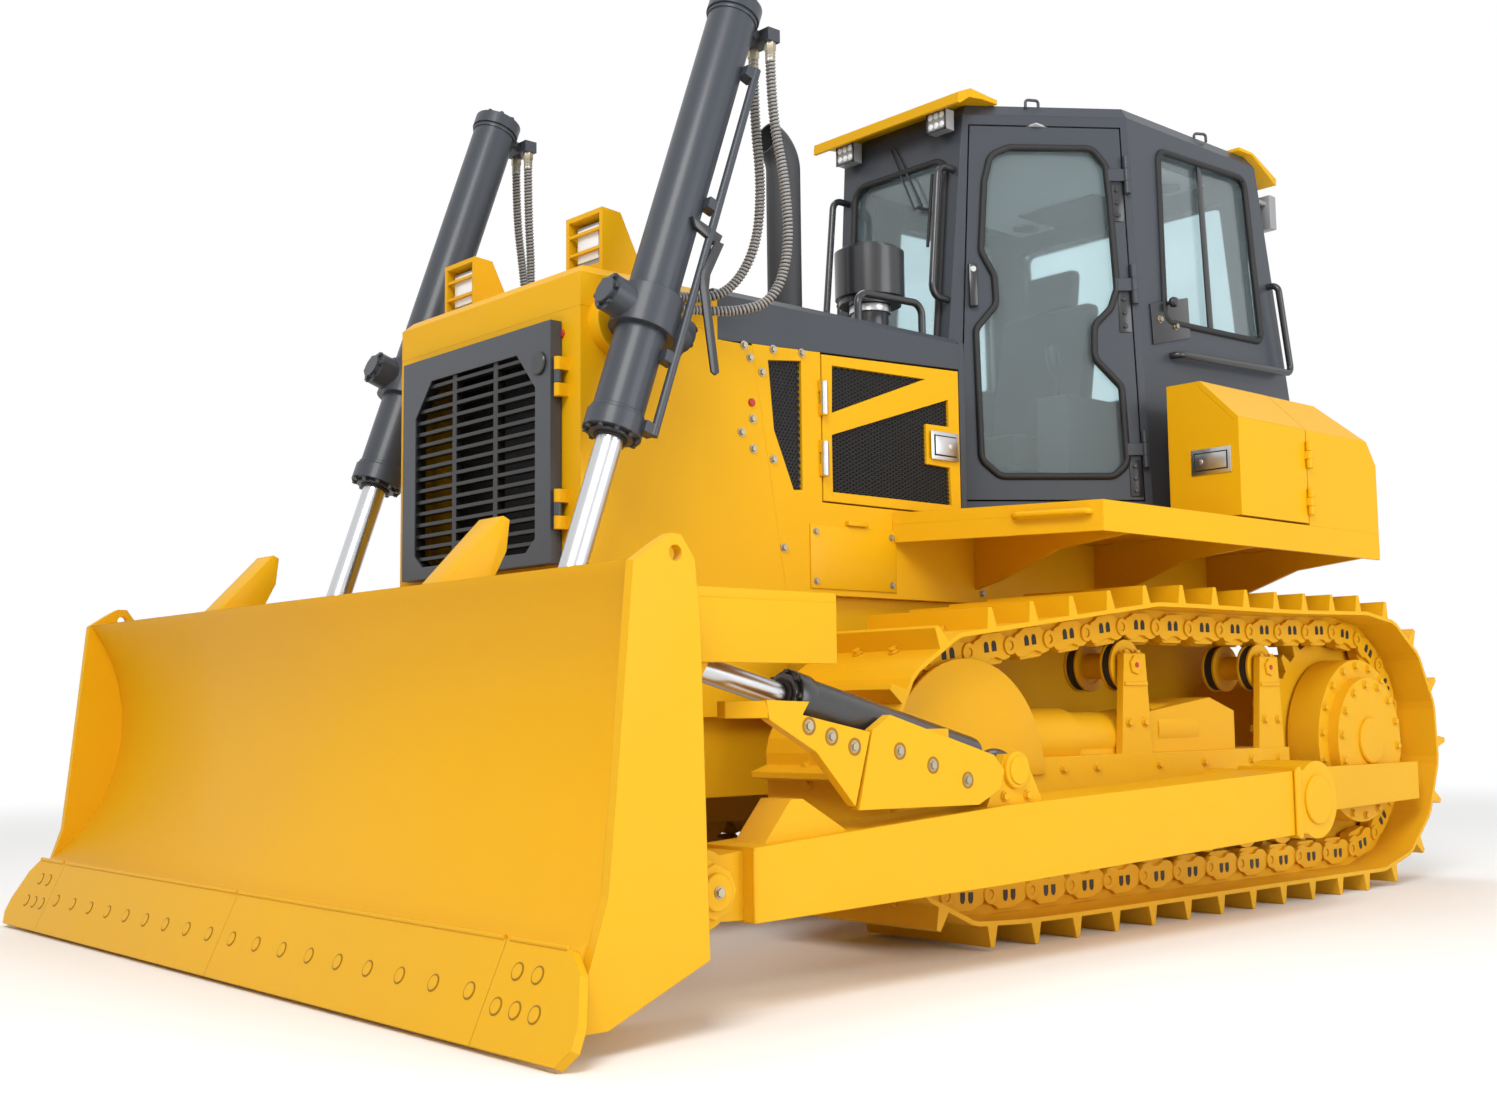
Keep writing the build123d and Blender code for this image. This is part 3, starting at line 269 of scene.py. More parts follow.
CHARCOAL_COLOUR = (0.046, 0.053, 0.066)
YELLOW = finish("yellow_paint", (0.77, 0.405, 0.003), 0.45, coat=0.06, tone=0.05, bump=0.02, dust=0.05, specular=0.16)
TRACK_YELLOW = finish("track_paint", (0.76, 0.395, 0.003), 0.48, coat=0.05, tone=0.08, bump=0.05, grain=180, dust=0.1,
                      specular=0.16)
CHARCOAL = finish("charcoal_paint", CHARCOAL_COLOUR, 0.38, coat=0.1, bump=0.02, dust=0.05, specular=0.35)
BLACK = finish("black_enamel", (0.02, 0.021, 0.024), 0.3, coat=0.3, tone=0.1, dust=0.1)
SOOT = finish("stack_black", (0.03, 0.032, 0.036), 0.55, tone=0.2, bump=0.06, dust=0.0)
CHROME = finish("chrome_rod", (0.60, 0.61, 0.63), 0.24, metallic=1.0, tone=0.04, bump=0.01, dust=0.1, edge=0.002)
STAINLESS = finish("stainless", (0.62, 0.62, 0.63), 0.28, metallic=1.0, tone=0.06, bump=0.02, dust=0.0, edge=0.001)
ZINC = finish("zinc_bolt", (0.42, 0.37, 0.27), 0.38, metallic=0.9, tone=0.2, dust=0.1, edge=0.001)
RUBBER = finish("seal_rubber", (0.012, 0.012, 0.013), 0.62, tone=0.15, bump=0.08, dust=0.1, edge=0.001)
MESH_WIRE = finish("mesh_wire", (0.022, 0.023, 0.026), 0.5, tone=0.15, dust=0.1, edge=0)
CORE = finish("core_fins", (0.012, 0.012, 0.013), 0.6, tone=0.3, bump=0.2, grain=90, dust=0.3)
SEAT_CLOTH = finish("seat_vinyl", (0.022, 0.022, 0.025), 0.55, tone=0.15, bump=0.25, grain=420, dust=0)
TRIM = finish("cab_trim", (0.09, 0.09, 0.095), 0.6, tone=0.1, bump=0.15, grain=300, dust=0)
HEADLINER = finish("headliner", (0.52, 0.53, 0.54), 0.8, tone=0.06, bump=0.2, grain=200, dust=0)
CABLE = finish("hose_guard", (0.30, 0.29, 0.28), 0.45, tone=0.15, bump=0.05, dust=0.0, edge=0)
LENS = finish("lamp_lens", (0.85, 0.87, 0.88), 0.1, tone=0.03, coat=0.6, dust=0, edge=0.002)
# Painted shade: darker yellow rings for the recesses round bolts.
SHADE = finish("bolt_well", (0.30, 0.145, 0.002), 0.6, tone=0.1, dust=0, edge=0)
LAMP_SHELL = finish("lamp_shell", (0.32, 0.33, 0.34), 0.4, metallic=0.3, tone=0.05, dust=0, edge=0.002)
# Near-black: painted shade in the link windows, behind the screens and in the latch recesses; also the dark colour of
# the headliner fittings and carrier treads.
GRIME_AND_SHADE = finish("recess_grime", (0.014, 0.013, 0.012), 0.8, tone=0.2, dust=0.2, edge=0)
RED_CAP = finish("red_plug", (0.45, 0.02, 0.015), 0.45, tone=0.05, dust=0, edge=0.001)
GLASS = glazing("tinted_glass", (0.76, 0.90, 0.93))
# Painted shade on each grille slat, which lies behind the door's face.
SLAT_FRONT, SLAT_REACH = -1.690, 0.36
SLAT_SHADE = (0.010, 0.010, 0.010, 1)


def grille_paint():
    """Charcoal door paint with painted shade: near-black on each slat, which lies behind the door's face."""
    material = finish("grille_paint", CHARCOAL_COLOUR, 0.38, coat=0.1, bump=0.02, dust=0.05)
    tree = material.node_tree
    shader = tree.nodes["Principled BSDF"]
    paint = shader.inputs["Base Color"].links[0].from_socket
    split = add_node(tree, "ShaderNodeSeparateXYZ", {"Vector": object_place(tree)}).outputs
    behind = worked_out(tree, "GREATER_THAN", split["Y"], SLAT_FRONT)
    inside = worked_out(tree, "LESS_THAN", worked_out(tree, "ABSOLUTE", split["X"]), SLAT_REACH)
    slat_shade = worked_out(tree, "MULTIPLY", behind, inside)
    feed(tree, shader, {"Base Color": blended(tree, slat_shade, paint, SLAT_SHADE)})
    return material


GRILLE_WITH_SLAT_SHADE = grille_paint()


def dress(material, *names):
    for name in names:
        node = NODES[name]
        node.data.materials.clear()
        node.data.materials.append(material)


dress(YELLOW, "radiator_guard", "hood_cap", "side_panels", "headlamps", "platform", "side_tanks", "fuel_tank",
      "moldboard", "end_plates", "tilt_guards", "cab_visors", "cutting_edges", "blade_fins", "push_arm_left",
      "push_arm_right", "engine_door_left", "engine_door_right", "box_door_left", "box_door_right")
dress(TRACK_YELLOW, "track_left", "track_right", "track_frame_left", "track_frame_right", "rollers_idlers",
      "sprockets", "final_drives")
dress(CHARCOAL, "cab_frame", "cab_roof", "cab_door_left", "cab_door_right", "hood_top",
      "lift_barrel_left", "lift_barrel_right", "lift_yoke_left", "lift_yoke_right", "firewall", "main_frame",
      "drawbar")
dress(BLACK, "tilt_barrel", "right_brace", "grab_rails", "air_precleaner")
dress(SOOT, "exhaust_stack", "engine")
dress(CHROME, "tilt_rod", "lift_rod_left", "lift_rod_right", "blade_pins")
dress(CORE, "radiator_core")
dress(GRILLE_WITH_SLAT_SHADE, "grille_door")
dress(TRIM, "consoles")
dress(SEAT_CLOTH, "operator_seat")
dress(GLASS, "cab_glass", "door_glass_left", "door_glass_right")
dress(LAMP_SHELL, "lamps")
dress(RUBBER, "lift_hose_a_left", "lift_hose_b_left", "lift_hose_a_right", "lift_hose_b_right")


# Making tools
def plain_mesh(name, vertices, edges=(), faces=()):
    mesh = bpy.data.meshes.new(name)
    mesh.from_pydata([tuple(v) for v in vertices], list(edges), list(faces))
    piece = bpy.data.objects.new(name, mesh)
    bpy.context.scene.collection.objects.link(piece)
    return piece


def chain(points):
    """Edges that join points in a row."""
    return [(i, i + 1) for i in range(len(points) - 1)]


def realized(piece):
    """Turns what the modifiers make into the piece's own mesh."""
    bpy.context.view_layer.update()
    graph = bpy.context.evaluated_depsgraph_get()
    mesh = bpy.data.meshes.new_from_object(piece.evaluated_get(graph))
    piece.modifiers.clear()
    old = piece.data
    if piece.type == "MESH":
        piece.data = mesh
        bpy.data.meshes.remove(old)
        return piece
    made = bpy.data.objects.new(piece.name + "_piece", mesh)
    bpy.context.scene.collection.objects.link(made)
    bpy.data.objects.remove(piece)
    return made


def with_nodes(piece, tree, **values):
    """Runs a geometry tree on a piece, with the tree's inputs given by their labels."""
    modifier = piece.modifiers.new("shape", "NODES")
    modifier.node_group = tree
    labels = {item.name.lower().replace(" ", "_"): item.identifier for item in tree.interface.items_tree
              if item.in_out == "INPUT"}
    for label, value in values.items():
        modifier[labels[label]] = value
    return realized(piece)


def place(piece, body, slot):
    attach(piece, body)
    return piece


def geometry_tree(name, *sockets):
    """Starts a geometry tree; gives it and what comes in."""
    tree = bpy.data.node_groups.new(name, "GeometryNodeTree")
    add_socket(tree, "Geometry", "INPUT", "NodeSocketGeometry")
    for label, kind, default in sockets + (("Material", "Material", None),):
        add_socket(tree, label, "INPUT", "NodeSocket" + kind, default)
    add_socket(tree, "Geometry", "OUTPUT", "NodeSocketGeometry")
    return tree, add_node(tree, "NodeGroupInput").outputs


def coated(tree, geometry, material):
    """Ends a geometry tree with real copies and a material."""
    real = add_node(tree, "GeometryNodeRealizeInstances", {"Geometry": geometry})
    coat = add_node(tree, "GeometryNodeSetMaterial", {"Geometry": real.outputs["Geometry"], "Material": material})
    add_node(tree, "NodeGroupOutput", {"Geometry": coat.outputs["Geometry"]})
    return tree


def on_points(tree, enter, instance, rotation):
    """Ends a geometry tree with a copy of a shape on each point that comes in."""
    spread = add_node(tree, "GeometryNodeInstanceOnPoints", {
        "Points": enter["Geometry"], "Instance": instance, "Rotation": rotation.outputs["Rotation"]})
    return coated(tree, spread.outputs["Instances"], enter["Material"])


def point_value(tree, name, kind):
    """A value that each point carries under a name."""
    return add_node(tree, "GeometryNodeInputNamedAttribute", {"Name": name}, data_type=kind).outputs["Attribute"]


def fastener_tree():
    """Hexagon heads on round washers, set on points and turned to each point's axis."""
    tree, enter = geometry_tree("fasteners", ("Radius", "Float", 0.012), ("Height", "Float", 0.009),
                                ("Sides", "Int", 6), ("Washer", "Float", 1.35))
    radius, height = enter["Radius"], enter["Height"]

    def post(sides, radius, depth, lift):
        shape = add_node(tree, "GeometryNodeMeshCylinder", {"Vertices": sides, "Radius": radius, "Depth": depth})
        rise = add_node(tree, "ShaderNodeCombineXYZ", {"Z": lift})
        moved = add_node(tree, "GeometryNodeTransform", {
            "Geometry": shape.outputs["Mesh"], "Translation": rise.outputs["Vector"]})
        return moved.outputs["Geometry"]

    def times(size, factor):
        return worked_out(tree, "MULTIPLY", size, factor)

    head = post(enter["Sides"], radius, height, times(height, 0.62))
    washer = post(16, times(radius, enter["Washer"]), times(height, 0.36), times(height, 0.12))
    both = add_node(tree, "GeometryNodeJoinGeometry", {"Geometry": head})
    feed(tree, both, {"Geometry": washer})
    turn = add_node(tree, "FunctionNodeAlignRotationToVector", {"Vector": point_value(tree, "axis", "FLOAT_VECTOR")},
                    axis="Z")
    return on_points(tree, enter, both.outputs["Geometry"], turn)


def repeat_tree():
    """Copies of a template piece on points, each turned about the machine's cross axis."""
    tree, enter = geometry_tree("track_repeats", ("Template", "Object", None))
    template = add_node(tree, "GeometryNodeObjectInfo", {"Object": enter["Template"]})
    euler = add_node(tree, "ShaderNodeCombineXYZ", {"X": point_value(tree, "turn", "FLOAT")})
    turn = add_node(tree, "FunctionNodeEulerToRotation", {"Euler": euler.outputs["Vector"]})
    return on_points(tree, enter, template.outputs["Geometry"], turn)


def strip_tree():
    """A flat or round section run along the edges of a line mesh."""
    tree, enter = geometry_tree("strips", ("Width", "Float", 0.012), ("Thickness", "Float", 0.008),
                                ("Bend", "Float", 0.0), ("Round", "Bool", False))
    curve = add_node(tree, "GeometryNodeMeshToCurve", {"Mesh": enter["Geometry"]})
    corner = add_node(tree, "GeometryNodeFilletCurve", {
        "Curve": curve.outputs["Curve"], "Count": 4, "Limit Radius": True, "Radius": enter["Bend"]}, mode="POLY")
    flat = add_node(tree, "GeometryNodeCurvePrimitiveQuadrilateral", {
        "Width": enter["Width"], "Height": enter["Thickness"]})
    tube = add_node(tree, "GeometryNodeCurvePrimitiveCircle", {
        "Resolution": 12, "Radius": worked_out(tree, "MULTIPLY", enter["Width"], 0.5)})
    section = add_node(tree, "GeometryNodeSwitch", {
        "Switch": enter["Round"], "False": flat.outputs["Curve"], "True": tube.outputs["Curve"]},
        input_type="GEOMETRY")
    run = add_node(tree, "GeometryNodeCurveToMesh", {
        "Curve": corner.outputs["Curve"], "Profile Curve": section.outputs["Output"], "Fill Caps": True})
    return coated(tree, run.outputs["Mesh"], enter["Material"])


FASTENERS, REPEATS, STRIPS = fastener_tree(), repeat_tree(), strip_tree()


def bolts(name, body, slot, spots, radius=0.011, height=0.009, sides=6, washer=1.35, material=ZINC):
    """Bolt heads at (place, axis) spots, in millimetres, as one piece."""
    piece = plain_mesh(name, [mm(*spot) for spot, _ in spots])
    axes = piece.data.attributes.new("axis", "FLOAT_VECTOR", "POINT")
    for i, (_, axis) in enumerate(spots):
        axes.data[i].vector = axis
    with_nodes(piece, FASTENERS, radius=radius, height=height, sides=sides, washer=washer, material=material)
    return place(piece, body, slot)


def strips(name, body, slot, lines, width, thickness=0.008, bend=0.0, material=RUBBER, as_round=False, closed=True):
    """Strips along lists of points in metres."""
    vertices, edges = [], []
    for line in lines:
        start = len(vertices)
        vertices += line
        edges += [(start + a, start + b) for a, b in chain(line)]
        if closed:
            edges.append((start + len(line) - 1, start))
    piece = plain_mesh(name, vertices, edges)
    with_nodes(piece, STRIPS, width=width, thickness=thickness, bend=bend, material=material, round=as_round)
    return place(piece, body, slot)


class Shape:
    """Gathers slabs, boxes and turned solids, in millimetres, into the mesh of one piece."""

    def __init__(self):
        self.mesh = bmesh.new()

    def slab(self, outline, push):
        low = [self.mesh.verts.new(mm(*point)) for point in outline]
        high = [self.mesh.verts.new(mm(*(Vector(point) + Vector(push)))) for point in outline]
        self.mesh.faces.new(low[::-1])
        self.mesh.faces.new(high)
        for i in range(len(low)):
            j = (i + 1) % len(low)
            self.mesh.faces.new((low[i], low[j], high[j], high[i]))
        return self

    def box(self, low, high):
        x, y, z = low
        return self.slab([(x, y, z), (high[0], y, z), (high[0], high[1], z), (x, high[1], z)], (0, 0, high[2] - z))

    def turned(self, profile, place, axis, steps=24):
        """Turns a profile of (radius, height) pairs about an axis; a radius of 0 closes an end."""
        axis = Vector(axis).normalized()
        side = axis.orthogonal().normalized()
        across = axis.cross(side)
        rings = []
        for radius, height in profile:
            centre = Vector(place) + axis * height
            turns = [2 * math.pi * i / steps for i in range(steps)] if radius else [0]
            rings.append([self.mesh.verts.new(mm(*(centre + radius * (math.cos(t) * side + math.sin(t) * across))))
                          for t in turns])
        for a, b in zip(rings, rings[1:]):
            for i in range(steps):
                j = (i + 1) % steps
                corners = (a[i % len(a)], a[j % len(a)], b[j % len(b)], b[i % len(b)])
                self.mesh.faces.new(list(dict.fromkeys(corners)))
        return self

    def cap(self, place, axis, radius, height, steps=24, soft=2):
        """Closed round disc with a softened rim."""
        return self.turned([(0, 0), (radius, 0), (radius, height - soft), (radius - soft, height), (0, height)],
                           place, axis, steps)

    def ring(self, place, axis, inner, outer, height, steps=24):
        return self.turned([(inner, 0), (outer, 0), (outer, height), (inner, height), (inner, 0)],
                           place, axis, steps)

    def piece(self, name):
        """The gathered mesh as an object, with doubles joined and faces turned outward."""
        bmesh.ops.remove_doubles(self.mesh, verts=self.mesh.verts, dist=SAME_SPOT)
        bmesh.ops.recalc_face_normals(self.mesh, faces=self.mesh.faces)
        piece = plain_mesh(name, [])
        self.mesh.to_mesh(piece.data)
        self.mesh.free()
        return piece

    def made(self, name, body, slot, material, bevel=0.0):
        piece = self.piece(name)
        piece.data.materials.append(material)
        if bevel:
            soft = piece.modifiers.new("edges", "BEVEL")
            soft.width = bevel * MM
            soft.segments = 2
            soft.limit_method = "ANGLE"
            realized(piece)
        piece.data.shade_smooth()
        piece.data.set_sharp_from_angle(angle=SHARP_ANGLE)
        return place(piece, body, slot)


def side_slab(shape, outline, low, high):
    """Slab across the machine, from an outline of (y, z) points."""
    shape.slab([(low, y, z) for y, z in outline], (high - low, 0, 0))


def arc(centre, radius, degrees):
    """Points of a circle at the given angles."""
    turns = [math.radians(degree) for degree in degrees]
    return [(centre[0] + radius * math.cos(turn), centre[1] + radius * math.sin(turn)) for turn in turns]


def around(centre, axis, radius, count, start=0.0):
    """Spots of (place, axis) spread round a circle."""
    axis = Vector(axis).normalized()
    side = axis.orthogonal().normalized()
    across = axis.cross(side)
    spots = []
    for i in range(count):
        turn = math.radians(start) + 2 * math.pi * i / count
        spots.append((tuple(Vector(centre) + radius * (math.cos(turn) * side + math.sin(turn) * across)), axis))
    return spots


# Track loop, from the same sizes as the solids
TRACK_X = 940
SHOE_PLATE, RAIL_DEPTH = 72, 57
LINK_COUNT = 36
SPROCKET, SPROCKET_RADIUS = (1755, 575), 440
IDLER, IDLER_RADIUS = (-640, 515), 370
CARRIERS, CARRIER_RADIUS = ((298, 862), (1162, 862)), 82
ROLLERS_Y = (-250, 5, 260, 515, 770, 1025, 1280)
PIN_HEIGHT = 135
FRAME_FACE = TRACK_X + 140
SKIRT_X = TRACK_X + 220


def track_links():
    """Middle, direction and outward side of each link, as (y, z) vectors."""

    def half_turn(centre, radius, start):
        turns = [math.pi * (i / 60 + start) for i in range(61)]
        return [Vector(centre) + radius * Vector((math.cos(turn), math.sin(turn))) for turn in turns]

    path = half_turn(SPROCKET, SPROCKET_RADIUS, -0.5)
    path += [Vector((y, z + CARRIER_RADIUS + RAIL_DEPTH + 1)) for y, z in reversed(CARRIERS)]
    path += half_turn(IDLER, IDLER_RADIUS, 0.5)
    path += [Vector((IDLER[0] + 220, PIN_HEIGHT)), path[0]]
    runs = [0]
    for a, b in zip(path, path[1:]):
        runs.append(runs[-1] + (b - a).length)
    pins = []
    for i in range(LINK_COUNT):
        along = runs[-1] * i / LINK_COUNT
        k = max(j for j in range(len(path) - 1) if runs[j] <= along)
        pins.append(path[k].lerp(path[k + 1], (along - runs[k]) / (runs[k + 1] - runs[k])))
    links = []
    for a, b in zip(pins, pins[1:] + pins[:1]):
        ahead = (b - a).normalized()
        links.append(((a + b) / 2, ahead, Vector((ahead.y, -ahead.x))))
    return links


def repeated(name, shape, spots, material):
    """Lays a shape, drawn about the origin with Y along the track and Z outward, on (place, turn) spots."""
    template = shape.piece(name + "_template")
    piece = plain_mesh(name, [mm(*spot) for spot, _ in spots])
    turns = piece.data.attributes.new("turn", "FLOAT", "POINT")
    for i, (_, turn) in enumerate(spots):
        turns.data[i].value = turn
    with_nodes(piece, REPEATS, template=template, material=material)
    bpy.data.objects.remove(template)
    piece.data.set_sharp_from_angle(angle=SHARP_ANGLE)
    return place(piece, "tractor", "yellow_paint")


LINK_REACH = 95
LINK_PLATE = 14
LINK_OUTLINE = (arc((-62, -8), 40, range(90, 271, 30)) + [(-40, -48), (-14, -34), (18, -34), (46, -46)]
                + arc((62, -8), 38, range(-90, 91, 30)) + [(40, 44), (-40, 44)])
LINK_PIN = (84, -4)
LINK_WINDOW_SHADE = ((-11, -14), (-11, 10), (-5, 20), (5, 20), (11, 10), (11, -14))


def track_details():
    """Link plates with pins, painted shade in their windows, and the shoe bolts."""
    links = track_links()
    for side, s in SIDES:
        spots = [((s * TRACK_X, middle.x, middle.y), math.atan2(ahead.y, ahead.x) + math.pi)
                 for middle, ahead, _ in links]
        for name, way in (("outer", s), ("inner", -s)):
            face, step = way * LINK_REACH, way * LINK_PLATE
            out = (step, 0, 0)
            plate = Shape().slab([(face, y, z) for y, z in LINK_OUTLINE], out)
            plate.ring((face + step, *LINK_PIN), out, 15, 30, 7, 16)
            plate.cap((face + step, *LINK_PIN), out, 14, 3, 12, 1)
            repeated(f"chain_links_{name}_{side}", plate, spots, TRACK_YELLOW)
            # Painted shade: dark slabs in the link windows, where the holes lie in shade.
            window = Shape()
            for middle in (-30, 8):
                window.slab([(face + step * 1.04, middle + y, z) for y, z in LINK_WINDOW_SHADE], (step * 0.06, 0, 0))
            repeated(f"chain_windows_{name}_{side}", window, spots, GRIME_AND_SHADE)
        heads = []
        for middle, ahead, out in links:
            for along in (8, 58):
                spot = middle - ahead * along + out * (SHOE_PLATE + 1)
                for across in (-76, 76):
                    heads.append(((s * (TRACK_X + across), spot.x, spot.y), (0, out.x, out.y)))
        bolts(f"shoe_bolts_{side}", "tractor", "yellow_paint", heads, 0.014, 0.013, material=TRACK_YELLOW)


def undercarriage_details():
    """Caps, bolts, carrier flanges and spring housings on the track frames."""
    for side, s in SIDES:
        out = (s, 0, 0)
        caps = Shape()
        for y in ROLLERS_Y:
            caps.cap((s * FRAME_FACE, y, 300), out, 36, 12, 20)
        for y, z in CARRIERS:
            caps.cap((s * (TRACK_X + 138), y, z), out, 34, 8, 6)
            low, high = sorted((s * (TRACK_X + 106), s * (TRACK_X + 144)))
            caps.box((low, y - 66, z - 70), (high, y + 66, z - 58))
        caps.cap((s * SKIRT_X, *SPROCKET), out, 92, 14, 32, 5)
        caps.cap((s * (TRACK_X + 152), IDLER[0] + 45, IDLER[1] + 30), out, 20, 8, 6)
        caps.made(f"frame_caps_{side}", "tractor", "yellow_paint", TRACK_YELLOW)
        plugs = Shape()
        for y, z in CARRIERS:
            plugs.cap((s * (TRACK_X + 146), y, z), out, 9, 4, 12, 1)
        plugs.made(f"grease_plugs_{side}", "tractor", "yellow_paint", RED_CAP)
        heads = around((s * SKIRT_X, *SPROCKET), out, 222, 14)
        heads += around((s * (SKIRT_X - 42), *SPROCKET), out, 298, 18, 8)
        for y, z in CARRIERS:
            heads += [((s * (TRACK_X + 125), y + dy, z + 40), (0, 0, 1)) for dy in (-34, 34)]
            heads += [((s * (TRACK_X + 138), y + dy, z - 196), out) for dy in (-46, 46)]
        for y in ROLLERS_Y:
            heads += [((s * FRAME_FACE, y + dy, 352), out) for dy in (-42, 42)]
        heads += [((s * FRAME_FACE, y, 520), out) for y in (-240, -120, 60, 420, 700, 1010, 1200)]
        bolts(f"frame_bolts_{side}", "tractor", "yellow_paint", heads, 0.013, 0.011, material=TRACK_YELLOW)
        bands = Shape()
        for y, z in CARRIERS:
            for x in (-100, -56, 52, 92):
                bands.ring((s * (TRACK_X + x), y, z), out, 60, CARRIER_RADIUS + 7, 9, 40)
        bands.turned([(0, 0), (98, 0), (106, 8), (106, 300), (92, 312), (92, 620), (0, 620)],
                     (s * (TRACK_X + 20), -300, 612), (0, 1, 0), 40)
        bands.turned([(0, 0), (92, 0), (92, 250), (84, 258), (0, 258)], (s * (TRACK_X + 20), 470, 640), (0, 1, 0), 40)
        bands.made(f"carrier_flanges_{side}", "tractor", "yellow_paint", TRACK_YELLOW)
        # Near-black rings on the carrier treads between the flanges.
        dark_rings = Shape()
        for y, z in CARRIERS:
            for x in (-97, 52):
                dark_rings.ring((s * (TRACK_X + x), y, z), out, 60, CARRIER_RADIUS + 1, 45, 40)
        dark_rings.made(f"carrier_treads_{side}", "tractor", "bare_steel", GRIME_AND_SHADE)


track_details()
undercarriage_details()


# Blade, arms and tilt cylinder
BLADE_X, ARM_X, LIFT_X = 1585, 1380, 680
EDGE_FOOT = (-2545, 12.5)
EDGE_LEAN = math.radians(24.3)
EDGE_OUT = (0, -math.cos(EDGE_LEAN), math.sin(EDGE_LEAN))
EDGE_HEIGHT = 236
ARM_PIN, TILT_PIN, TILT_EYE = (-1969, 300), (-830, 545), (-2010, 845)
GUARD_FACE = ARM_X + 106


def edge_spot(x, along):
    return (x, EDGE_FOOT[0] + along * math.sin(EDGE_LEAN), EDGE_FOOT[1] + along * math.cos(EDGE_LEAN))


def blade_details():
    """Edge bolts ringed with painted shade for their recesses, edge welds and pin caps."""
    heads, shade_rings = [], Shape()
    for _, s in SIDES:
        spots = [edge_spot(s * (74 + 150 * i), 112) for i in range(9)]
        spots += [edge_spot(s * x, 172) for x in (1425, 1500)]
        spots += [edge_spot(s * x, 92) for x in (1392, 1464, 1536)]
        for spot in spots:
            heads.append((spot, EDGE_OUT))
            shade_rings.turned([(17, 0.2), (21, 0.2), (21, 0.7), (17, 0.7), (17, 0.2)], spot, EDGE_OUT, 24)
    shade_rings.made("edge_bolt_wells", "blade", "yellow_paint", SHADE)
    bolts("edge_bolts", "blade", "yellow_paint", heads, 0.017, 0.002, 24, 0.9, YELLOW)
    weld = [[mm(*edge_spot(s * x, EDGE_HEIGHT + 3)) for x in span] for _, s in SIDES
            for span in ((4, 1335), (1360, 1572))]
    strips("edge_welds", "blade", "yellow_paint", weld, 0.013, material=YELLOW, as_round=True, closed=False)
    caps = Shape()
    for _, s in SIDES:
        caps.cap((s * (ARM_X + 100), *ARM_PIN), (s, 0, 0), 66, 9, 8, 2)
        caps.cap((s * (ARM_X + 109), *ARM_PIN), (s, 0, 0), 44, 12, 32, 3)
        caps.cap((s * (ARM_X + 80), *TILT_EYE), (s, 0, 0), 42, 12, 32, 3)
    caps.made("blade_pin_caps", "blade", "yellow_paint", YELLOW)
    bolts("blade_cap_bolts", "blade", "bare_steel",
          [((s * (ARM_X + 121), *ARM_PIN), (s, 0, 0)) for _, s in SIDES]
          + [((s * (ARM_X + 80), TILT_EYE[0] + dy, TILT_EYE[1] + 2), (s, 0, 0)) for _, s in SIDES for dy in (-62, 60)],
          0.011, 0.009)


def barrel_spot(along):
    """Point on the tilt cylinder's axis, from its ball."""
    line = Vector((TILT_EYE[0] - TILT_PIN[0], TILT_EYE[1] - TILT_PIN[1])).normalized()
    return (ARM_X, TILT_PIN[0] + line.x * along, TILT_PIN[1] + line.y * along)


def tilt_details():
    """Bands, rod, seal and guard bolts of the tilt cylinder, and caps on both arms."""
    along = Vector(barrel_spot(1)) - Vector(barrel_spot(0))
    bands = Shape()
    bands.ring(barrel_spot(785), along, 66, 72, 55, 40).ring(barrel_spot(840), along, 33, 58, 14, 40)
    bands.made("tilt_barrel_bands", "tilt_barrel", "dark_paint", BLACK, 1)
    rod = Shape().ring(barrel_spot(845), along, 31, 32.1, 318, 64)
    rod.made("tilt_rod_chrome", "tilt_rod", "bare_steel", CHROME)
    seal = Shape().ring(barrel_spot(854), along, 33, 44, 8, 40)
    seal.made("tilt_rod_wiper", "tilt_barrel", "hose_rubber", RUBBER)
    bolts("tilt_head_bolts", "tilt_barrel", "dark_paint", around(barrel_spot(840), along, 64, 8), 0.007, 0.010,
          material=BLACK)
    guard = [(-1659, 679), (-1581, 652), (-1500, 625), (-1333, 610), (-1206, 570), (-1068, 526)]
    # Painted shade: darker yellow rings round the guard bolts, for their recesses.
    shade_rings = Shape()
    for y, z in guard:
        shade_rings.ring((GUARD_FACE, y, z), (1, 0, 0), 17, 23, 1, 24)
    shade_rings.made("guard_bolt_wells", "tilt_barrel", "yellow_paint", SHADE)
    bolts("guard_bolts", "tilt_barrel", "bare_steel", [((GUARD_FACE, y, z), (1, 0, 0)) for y, z in guard], 0.011, 0.006)
    for side, s in SIDES:
        caps = Shape().cap((s * (ARM_X + 75), *TILT_PIN), (s, 0, 0), 52, 15, 36, 4)
        caps.cap((s * (ARM_X + 90), *TILT_PIN), (s, 0, 0), 40, 5, 36, 2)
        caps.cap((s * (ARM_X + 100), 760, 395), (s, 0, 0), 84, 10, 36, 4)
        caps.made(f"arm_pin_caps_{side}", f"{side}_arm", "yellow_paint", YELLOW)
        bolts(f"arm_cap_bolts_{side}", f"{side}_arm", "yellow_paint",
              [((s * (ARM_X + 75), TILT_PIN[0] + dy, TILT_PIN[1] - 72), (s, 0, 0)) for dy in (-50, 50)],
              0.011, 0.010, material=YELLOW)
        arm_welds = [[mm(s * (ARM_X + 96), -1835, 220), mm(s * (ARM_X + 98), -1838, 388)],
                     [mm(s * (ARM_X + 108), 611, 280), mm(s * (ARM_X + 108), 611, 502)]]
        strips(f"arm_welds_{side}", f"{side}_arm", "yellow_paint", arm_welds, 0.012, material=YELLOW, as_round=True,
               closed=False)


blade_details()
tilt_details()


# Rolled, sloped and round forms that cover plainer solids
ARC_CENTRE, ARC_RADIUS = (-2752.7, 695.6), 577.7
MOLD_BACK = [(-2260, 1052), (-2140, 1030), (-2112, 900), (-2168, 850), (-2155, 770), (-2150, 690), (-2158, 590),
             (-2180, 500), (-2105, 470), (-2092, 171), (-2395, 62), (-2470, 47)]


